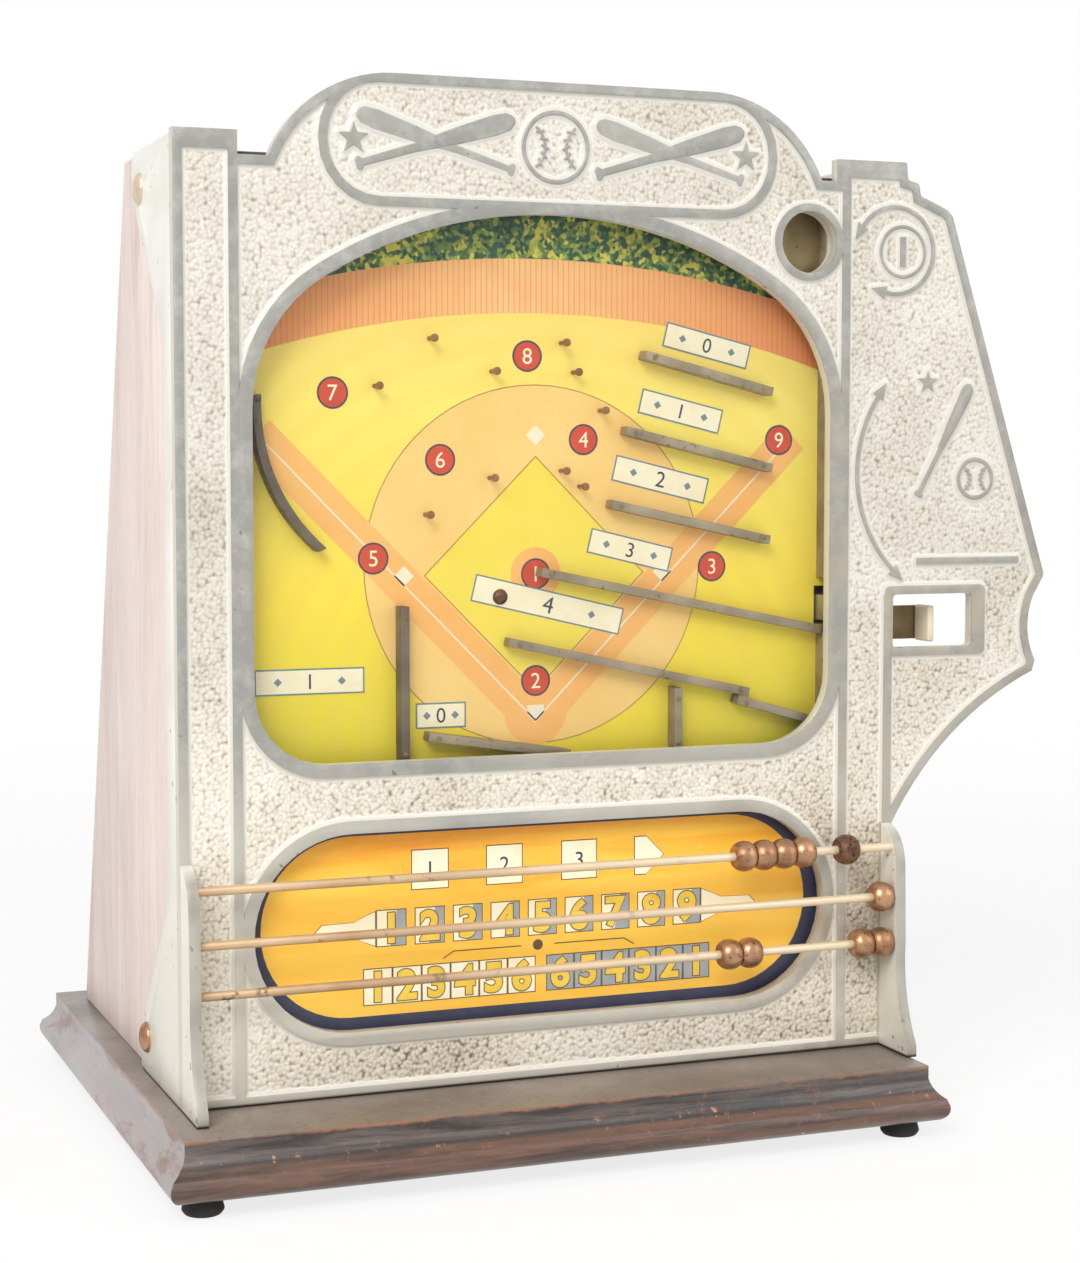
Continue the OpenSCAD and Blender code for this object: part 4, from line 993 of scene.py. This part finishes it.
def plateKinds(reliefs, columns, rows):
    low, high = nodeBox("front_casting")
    casting = bpy.data.objects["front_casting_finish"]
    boxes = []
    for piece in reliefs:
        xs, zs = [v.co.x for v in piece.data.vertices], [v.co.z for v in piece.data.vertices]
        boxes.append((piece, min(xs), max(xs), min(zs), max(zs)))
    kinds = numpy.zeros((rows, columns), int)
    along = Vector((0, 1, 0))
    for row in range(rows):
        for column in range(columns):
            start = spot(low.x + (column + 0.5) * (high.x - low.x) / columns, low.y - 10,
                         low.z + (row + 0.5) * (high.z - low.z) / rows)
            hit, where = casting.ray_cast(start, along)[:2]
            depth = (where.y - faceY) * 1000 if hit else math.inf
            if pebbleWork["groundFrom"] < depth < pebbleWork["groundTo"]:
                near = [piece for piece, lowX, highX, lowZ, highZ in boxes
                        if lowX < start.x < highX and lowZ < start.z < highZ]
                covered = any(piece.ray_cast(start, along)[0] for piece in near)
                kinds[row, column] = borderKind if covered else groundKind
            elif pebbleWork["borderFrom"] < depth < pebbleWork["groundFrom"]:
                kinds[row, column] = borderKind
    return kinds


def spread(mask, corners):
    wide = numpy.pad(mask, 1)
    shape = mask.shape
    moves = [(i, j) for i in (0, 1, 2) for j in (0, 1, 2) if corners or 1 in (i, j)]
    return numpy.logical_or.reduce([wide[i:i + shape[0], j:j + shape[1]] for i, j in moves])


def pressGround(ground, strength, group, texture=None):
    press = ground.modifiers.new("press", "DISPLACE")
    if texture:
        press.texture = texture
        press.texture_coords = "LOCAL"
    press.direction = "Y"
    press.vertex_group = group
    press.mid_level = 0.0
    press.strength = strength / 1000
    bpy.ops.object.modifier_apply(modifier=press.name)


def layPebbles(reliefs):
    low, high = nodeBox("front_casting")
    columns, rows = [int(length / pebbleWork["cell"]) for length in (high.x - low.x, high.z - low.z)]
    kinds = plateKinds(reliefs, columns, rows)
    bare, border = kinds == groundKind, kinds == borderKind
    kept = bare | border & spread(spread(bare, True), True)
    steps = round(pebbleWork["slope"] / pebbleWork["cell"])
    away = numpy.full(kinds.shape, steps)
    grown = border
    away[grown] = 0
    for step in range(1, steps):
        wider = spread(grown, step % 2 == 0)
        away[wider & ~grown] = step
        grown = wider
    clearPick()
    bpy.ops.mesh.primitive_grid_add(x_subdivisions=columns, y_subdivisions=rows, size=1)
    ground = bpy.context.object
    ground.name = "pebbledGround"
    size = Matrix.Diagonal(((high.x - low.x) / 1000, (high.z - low.z) / 1000, 1, 1))
    middle = spot((low.x + high.x) / 2, pebbleWork["top"], (low.z + high.z) / 2)
    ground.data.transform(Matrix.Translation(middle) @ Matrix.Rotation(math.pi / 2, 4, "X") @ size)
    wide = numpy.pad(away, 1, mode="edge")
    atVertex = numpy.minimum.reduce([wide[:-1, :-1], wide[1:, :-1], wide[:-1, 1:], wide[1:, 1:]]).ravel()
    slope, grainy = ground.vertex_groups.new(name="slope"), ground.vertex_groups.new(name="grainy")
    for step in range(steps + 1):
        chosen = numpy.flatnonzero(atVertex == step).tolist()
        slope.add(chosen, (1 - step / steps) ** pebbleWork["slopePower"], "REPLACE")
        grainy.add(chosen, (step / steps) ** pebbleWork["grainPower"], "REPLACE")
    bpy.ops.object.mode_set(mode="EDIT")
    bpy.ops.mesh.select_mode(type="FACE")
    bpy.ops.mesh.select_all(action="DESELECT")
    bpy.ops.object.mode_set(mode="OBJECT")
    ground.data.polygons.foreach_set("select", ~kept.ravel())
    bpy.ops.object.mode_set(mode="EDIT")
    bpy.ops.mesh.delete(type="FACE")
    bpy.ops.object.mode_set(mode="OBJECT")
    pressGround(ground, -pebbleWork["rise"], "slope")
    soften = ground.modifiers.new("soften", "SMOOTH")
    soften.factor = 0.5
    soften.iterations = pebbleWork["softenings"]
    soften.use_x = soften.use_z = False
    bpy.ops.object.modifier_apply(modifier=soften.name)
    grains = bpy.data.textures.new("grains", "VORONOI")
    grains.noise_scale = pebbleWork["grain"] / 1000
    grains.distance_metric = "DISTANCE_SQUARED"
    unevenness = bpy.data.textures.new("unevenness", "CLOUDS")
    unevenness.noise_scale = pebbleWork["roughGrain"] / 1000
    pressGround(ground, pebbleWork["deep"], "grainy", grains)
    pressGround(ground, pebbleWork["roughen"], "grainy", unevenness)
    ground.vertex_groups.clear()
    smoothOver(ground, 80)
    bpy.ops.object.mode_set(mode="EDIT")
    bpy.ops.mesh.separate(type="LOOSE")
    bpy.ops.object.mode_set(mode="OBJECT")
    for field in list(bpy.context.selected_objects):
        settle(field, pebbledMetal, "root")


layPebbles(makeRelief())
print("relief raised, ground pebbled")

# Small fittings: nail heads in the rails, the board's screw, the stop behind the coin hole, the lever's tip
fittings = {"nail": 1.25, "nailRise": 0.28, "nailIn": 5, "uprightWide": 10, "railThick": 4,
            "stud": (-11, 248, 3.6), "studRise": 2.2, "studSlot": (4.6, 0.8, 35), "studSlotOut": (1.5, 2.3),
            "coinStop": (133.5, 408, 17.2), "coinStopThick": 1.2,
            "tip": (3.5, 13.0, 17.2), "tipAt": (-1.25, 6.1, 8)}


def domeHead(name, x, y, z, r, rise):
    clearPick()
    bpy.ops.mesh.primitive_uv_sphere_add(segments=20, ring_count=10, radius=r / 1000)
    head = bpy.context.object
    head.name = name
    place = spot(x, y, z)
    head.data.transform(Matrix.Translation(place) @ Matrix.Diagonal((1, rise / r, 1, 1)))
    bpy.ops.object.mode_set(mode="EDIT")
    bpy.ops.mesh.select_all(action="SELECT")
    bpy.ops.mesh.bisect(plane_co=place, plane_no=(0, 1, 0), use_fill=True, clear_outer=True)
    bpy.ops.object.mode_set(mode="OBJECT")
    return head


def makeFittings():
    heads = []
    inset, thick = fittings["nailIn"], fittings["railThick"]
    for node in frame["nodes"]:
        if not (node.endswith("_rail") or node.endswith("_fence")) or node in ("rear_rail", "curved_rail"):
            continue
        low, high = nodeBox(node)
        if high.x - low.x < fittings["uprightWide"]:
            ends = [((low.x + high.x) / 2, low.z + inset), ((low.x + high.x) / 2, high.z - inset)]
        else:
            drop = (high.z - low.z - thick) / (high.x - low.x) * inset
            ends = [(low.x + inset, high.z - thick / 2 - drop), (high.x - inset, low.z + thick / 2 + drop)]
        heads += [domeHead("railNails", x, low.y, z, fittings["nail"], fittings["nailRise"]) for x, z in ends]
    nails = joinAll("railNails", heads)
    smoothOver(nails)
    settle(nails, leverBrass, "root")
    sheet = nodeBox("playfield_sheet")[0].y
    x, z, r = fittings["stud"]
    back, front = [sheet - out for out in fittings["studSlotOut"]]
    stud = joinAll("boardScrew", [domeHead("boardScrew", x, sheet, z, r, fittings["studRise"]),
                                  cutShape("boardScrew", plate(x, z, *fittings["studSlot"]), back, front)])
    smoothOver(stud)
    settle(stud, darkCopper, "root")
    stop = cutShape("coinStop", circle(*fittings["coinStop"]), sheet, sheet - fittings["coinStopThick"])
    roundEdges(stop, 0.4)
    settle(stop, leverBrass, "root")
    low, high = nodeBox("bat_lever")
    clearPick()
    bpy.ops.mesh.primitive_cube_add(size=1)
    tip = bpy.context.object
    tip.name = "leverTip"
    right, back, up = fittings["tipAt"]
    place = Matrix.Translation(spot(high.x + right, low.y + back, low.z + up))
    tip.data.transform(place @ Matrix.Diagonal([side / 1000 for side in fittings["tip"]] + [1]))
    roundEdges(tip, 1.1, 4)
    smoothOver(tip)
    settle(tip, ivory, "bat")


# Slotted screws in the hinge leaves, three to a leaf
hingeScrews = {"r": 2.3, "rise": 1.0, "slot": 0.7, "along": (0.18, 0.5, 0.82), "out": 0.64, "turn": 9,
               "facing": 0.9, "wideShare": 0.6, "baseOut": (0, 0, 1), "doorOut": (0, 0.955, 0.297)}


def slottedHead():
    r, rise, slot = [hingeScrews[key] / 1000 for key in ("r", "rise", "slot")]
    clearPick()
    bpy.ops.mesh.primitive_uv_sphere_add(segments=24, ring_count=12, radius=r)
    head = bpy.context.object
    head.data.transform(Matrix.Diagonal((1, 1, rise / r, 1)))
    bpy.ops.object.mode_set(mode="EDIT")
    bpy.ops.mesh.select_all(action="SELECT")
    bpy.ops.mesh.bisect(plane_co=(0, 0, 0), plane_no=(0, 0, 1), use_fill=True, clear_inner=True)
    bpy.ops.object.mode_set(mode="OBJECT")
    clearPick()
    bpy.ops.mesh.primitive_cube_add(size=1)
    saw = bpy.context.object
    saw.data.transform(Matrix.Translation((0, 0, rise)) @ Matrix.Diagonal((r * 3, slot, rise, 1)))
    pickAlone(head)
    cut = head.modifiers.new("slot", "BOOLEAN")
    cut.operation = "DIFFERENCE"
    cut.object = saw
    bpy.ops.object.modifier_apply(modifier=cut.name)
    bpy.data.objects.remove(saw)
    return head


def screwLeaves(node, outward, body):
    leaves = bpy.data.objects[node + "_finish"]
    faces = [face for face in leaves.data.polygons if face.normal.dot(outward) > hingeScrews["facing"]]
    widest = max(face.area for face in faces)
    head = slottedHead()
    heads = []
    for face in faces:
        if face.area < widest * hingeScrews["wideShare"]:
            continue
        corners = [leaves.data.vertices[i].co for i in face.vertices]
        corners.sort(key=lambda corner: (round(corner.z, 5), corner.y))  # from the knuckles outwards
        first, last = min(corner.x for corner in corners), max(corner.x for corner in corners)
        for share in hingeScrews["along"]:
            place = corners[0].lerp(corners[-1], hingeScrews["out"])
            place.x = first + (last - first) * share
            copied = bpy.data.objects.new(node + "_screws", head.data.copy())
            bpy.context.collection.objects.link(copied)
            turn = Matrix.Rotation(share * hingeScrews["turn"], 4, "Z")
            lean = face.normal.to_track_quat("Z", "Y").to_matrix().to_4x4()
            copied.data.transform(Matrix.Translation(place) @ lean @ turn)
            heads.append(copied)
    bpy.data.objects.remove(head)
    screws = joinAll(node + "_screws", heads)
    smoothOver(screws)
    settle(screws, leverBrass, body)


makeFittings()
screwLeaves("hinge_base_leaves", Vector(hingeScrews["baseOut"]), "root")
screwLeaves("hinge_door_leaves", Vector(hingeScrews["doorOut"]), "door")
print("fittings placed")

# The bat's return spring, wound between the lever's peg and its post
springWork = {"coil": 2.6, "wire": 0.55, "turns": 24, "steps": 16, "lead": 3.2, "eye": 2.9, "eyeIn": 3.5}


def windSpring():
    low, high = nodeBox("bat_spring")
    x, y = (low.x + high.x) / 2, (low.y + high.y) / 2
    bottom, top = low.z + springWork["eyeIn"], high.z - springWork["eyeIn"]
    coilR, wireR, eyeR = [springWork[key] / 1000 for key in ("coil", "wire", "eye")]
    upright = Matrix.Rotation(math.pi / 2, 4, "X")
    clearPick()
    bpy.ops.mesh.primitive_circle_add(vertices=8, radius=wireR)
    coil = bpy.context.object
    coil.data.transform(Matrix.Translation((coilR, 0, 0)) @ upright)
    screw = coil.modifiers.new("wind", "SCREW")
    screw.axis = "Z"
    screw.steps = screw.render_steps = springWork["steps"]
    screw.iterations = springWork["turns"]
    screw.screw_offset = (top - bottom - 2 * springWork["lead"]) / 1000 / springWork["turns"]
    bpy.ops.object.modifier_apply(modifier=screw.name)
    coil.data.transform(Matrix.Translation(spot(x, y, bottom + springWork["lead"])))
    parts = [coil]
    for z in (bottom, top):
        clearPick()
        bpy.ops.mesh.primitive_torus_add(major_radius=eyeR, minor_radius=wireR, major_segments=28,
                                         minor_segments=8)
        eye = bpy.context.object
        eye.data.transform(Matrix.Translation(spot(x, y, z)) @ upright)
        parts.append(eye)
    spring = joinAll("returnSpring", parts)
    pickAlone(spring)
    bpy.ops.object.mode_set(mode="EDIT")
    bpy.ops.mesh.select_all(action="SELECT")
    bpy.ops.mesh.remove_doubles(threshold=weldGap)
    bpy.ops.mesh.normals_make_consistent(inside=False)
    bpy.ops.object.mode_set(mode="OBJECT")
    smoothOver(spring, 60)
    spring.data.materials.clear()
    spring.data.materials.append(steel)
    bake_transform(spring, "bat", "root", start=spot(x, y, bottom), end=spot(x, y, top))
    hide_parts("bat_spring")


windSpring()
print("spring wound")

# Floor, light and camera
studio = {"floor": "#F4F4F2", "floorShade": "#F0F0EE", "floorSize": 12, "worldLight": 0.55, "lampSize": 1.3,
          "lamps": [("keyLamp", (-1.3, -1.6, 1.75), (0, 0, 0.22), 50.0),
                    ("fillLamp", (1.5, -1.4, 1.2), (0, 0, 0.2), 9.0)]}
photoView = {"place": (-0.427, -1.1026, 0.3109), "pitch": -0.0723, "yaw": -0.3698, "lens": 69.27,
             "sensor": 36.0, "clipStart": 0.01}


# Whether a ray comes from the camera, straight or by way of a shine or a pane
def seenByCamera(tree):
    rays = addNode(tree, "ShaderNodeLightPath", {}).outputs
    bounced = calc(tree, "MAXIMUM", rays["Is Glossy Ray"], rays["Is Transmission Ray"])
    return calc(tree, "MAXIMUM", rays["Is Camera Ray"], bounced)


def makeFloor():
    clearPick()
    bpy.ops.mesh.primitive_plane_add(size=studio["floorSize"])
    floor = bpy.context.object
    floor.name = "floor"
    material, tree, shader = startMaterial("floorPaper", 0.9)
    coords = objectCoords(tree)
    paper = blendTints(tree, speckle(tree, coords, 3.0), tint(studio["floor"]), tint(studio["floorShade"]))
    paint(tree, shader, paper)
    glow = addNode(tree, "ShaderNodeEmission", {"Color": (1, 1, 1, 1), "Strength": 1.0}).outputs[0]
    away = addNode(tree, "ShaderNodeVectorMath", {0: coords}, operation="LENGTH").outputs["Value"]
    share = calc(tree, "MULTIPLY", seenByCamera(tree), remap(tree, away, 0.5, 1.6, 0.8, 1.0))
    mixed = addNode(tree, "ShaderNodeMixShader", {0: share, 1: shader.outputs[0], 2: glow}).outputs[0]
    tree.links.new(mixed, tree.nodes["Material Output"].inputs["Surface"])
    floor.data.materials.append(material)


def makeWorld():
    world = bpy.data.worlds.new("studioWorld")
    bpy.context.scene.world = world
    world.use_nodes = True
    tree = world.node_tree
    strength = remap(tree, seenByCamera(tree), 0.0, 1.0, studio["worldLight"], 1.0)
    back = tree.nodes["Background"]
    back.inputs["Color"].default_value = (1, 1, 1, 1)
    tree.links.new(strength, back.inputs["Strength"])


def makeLamp(name, place, aim, power):
    lamp = bpy.data.lights.new(name, "AREA")
    lamp.energy = power
    lamp.size = studio["lampSize"]
    piece = bpy.data.objects.new(name, lamp)
    bpy.context.collection.objects.link(piece)
    piece.location = place
    piece.rotation_euler = (Vector(aim) - Vector(place)).to_track_quat("-Z", "Y").to_euler()


def makeCamera():
    lens = bpy.data.cameras.new("photoCamera")
    lens.lens = photoView["lens"]
    lens.sensor_width = photoView["sensor"]
    lens.clip_start = photoView["clipStart"]
    camera = bpy.data.objects.new("photoCamera", lens)
    bpy.context.collection.objects.link(camera)
    camera.location = photoView["place"]
    camera.rotation_euler = (math.pi / 2 + photoView["pitch"], 0, photoView["yaw"])
    bpy.context.scene.camera = camera


makeFloor()
makeWorld()
for lampValues in studio["lamps"]:
    makeLamp(*lampValues)
makeCamera()
bpy.context.scene.view_settings.view_transform = "Standard"
print("studio set")
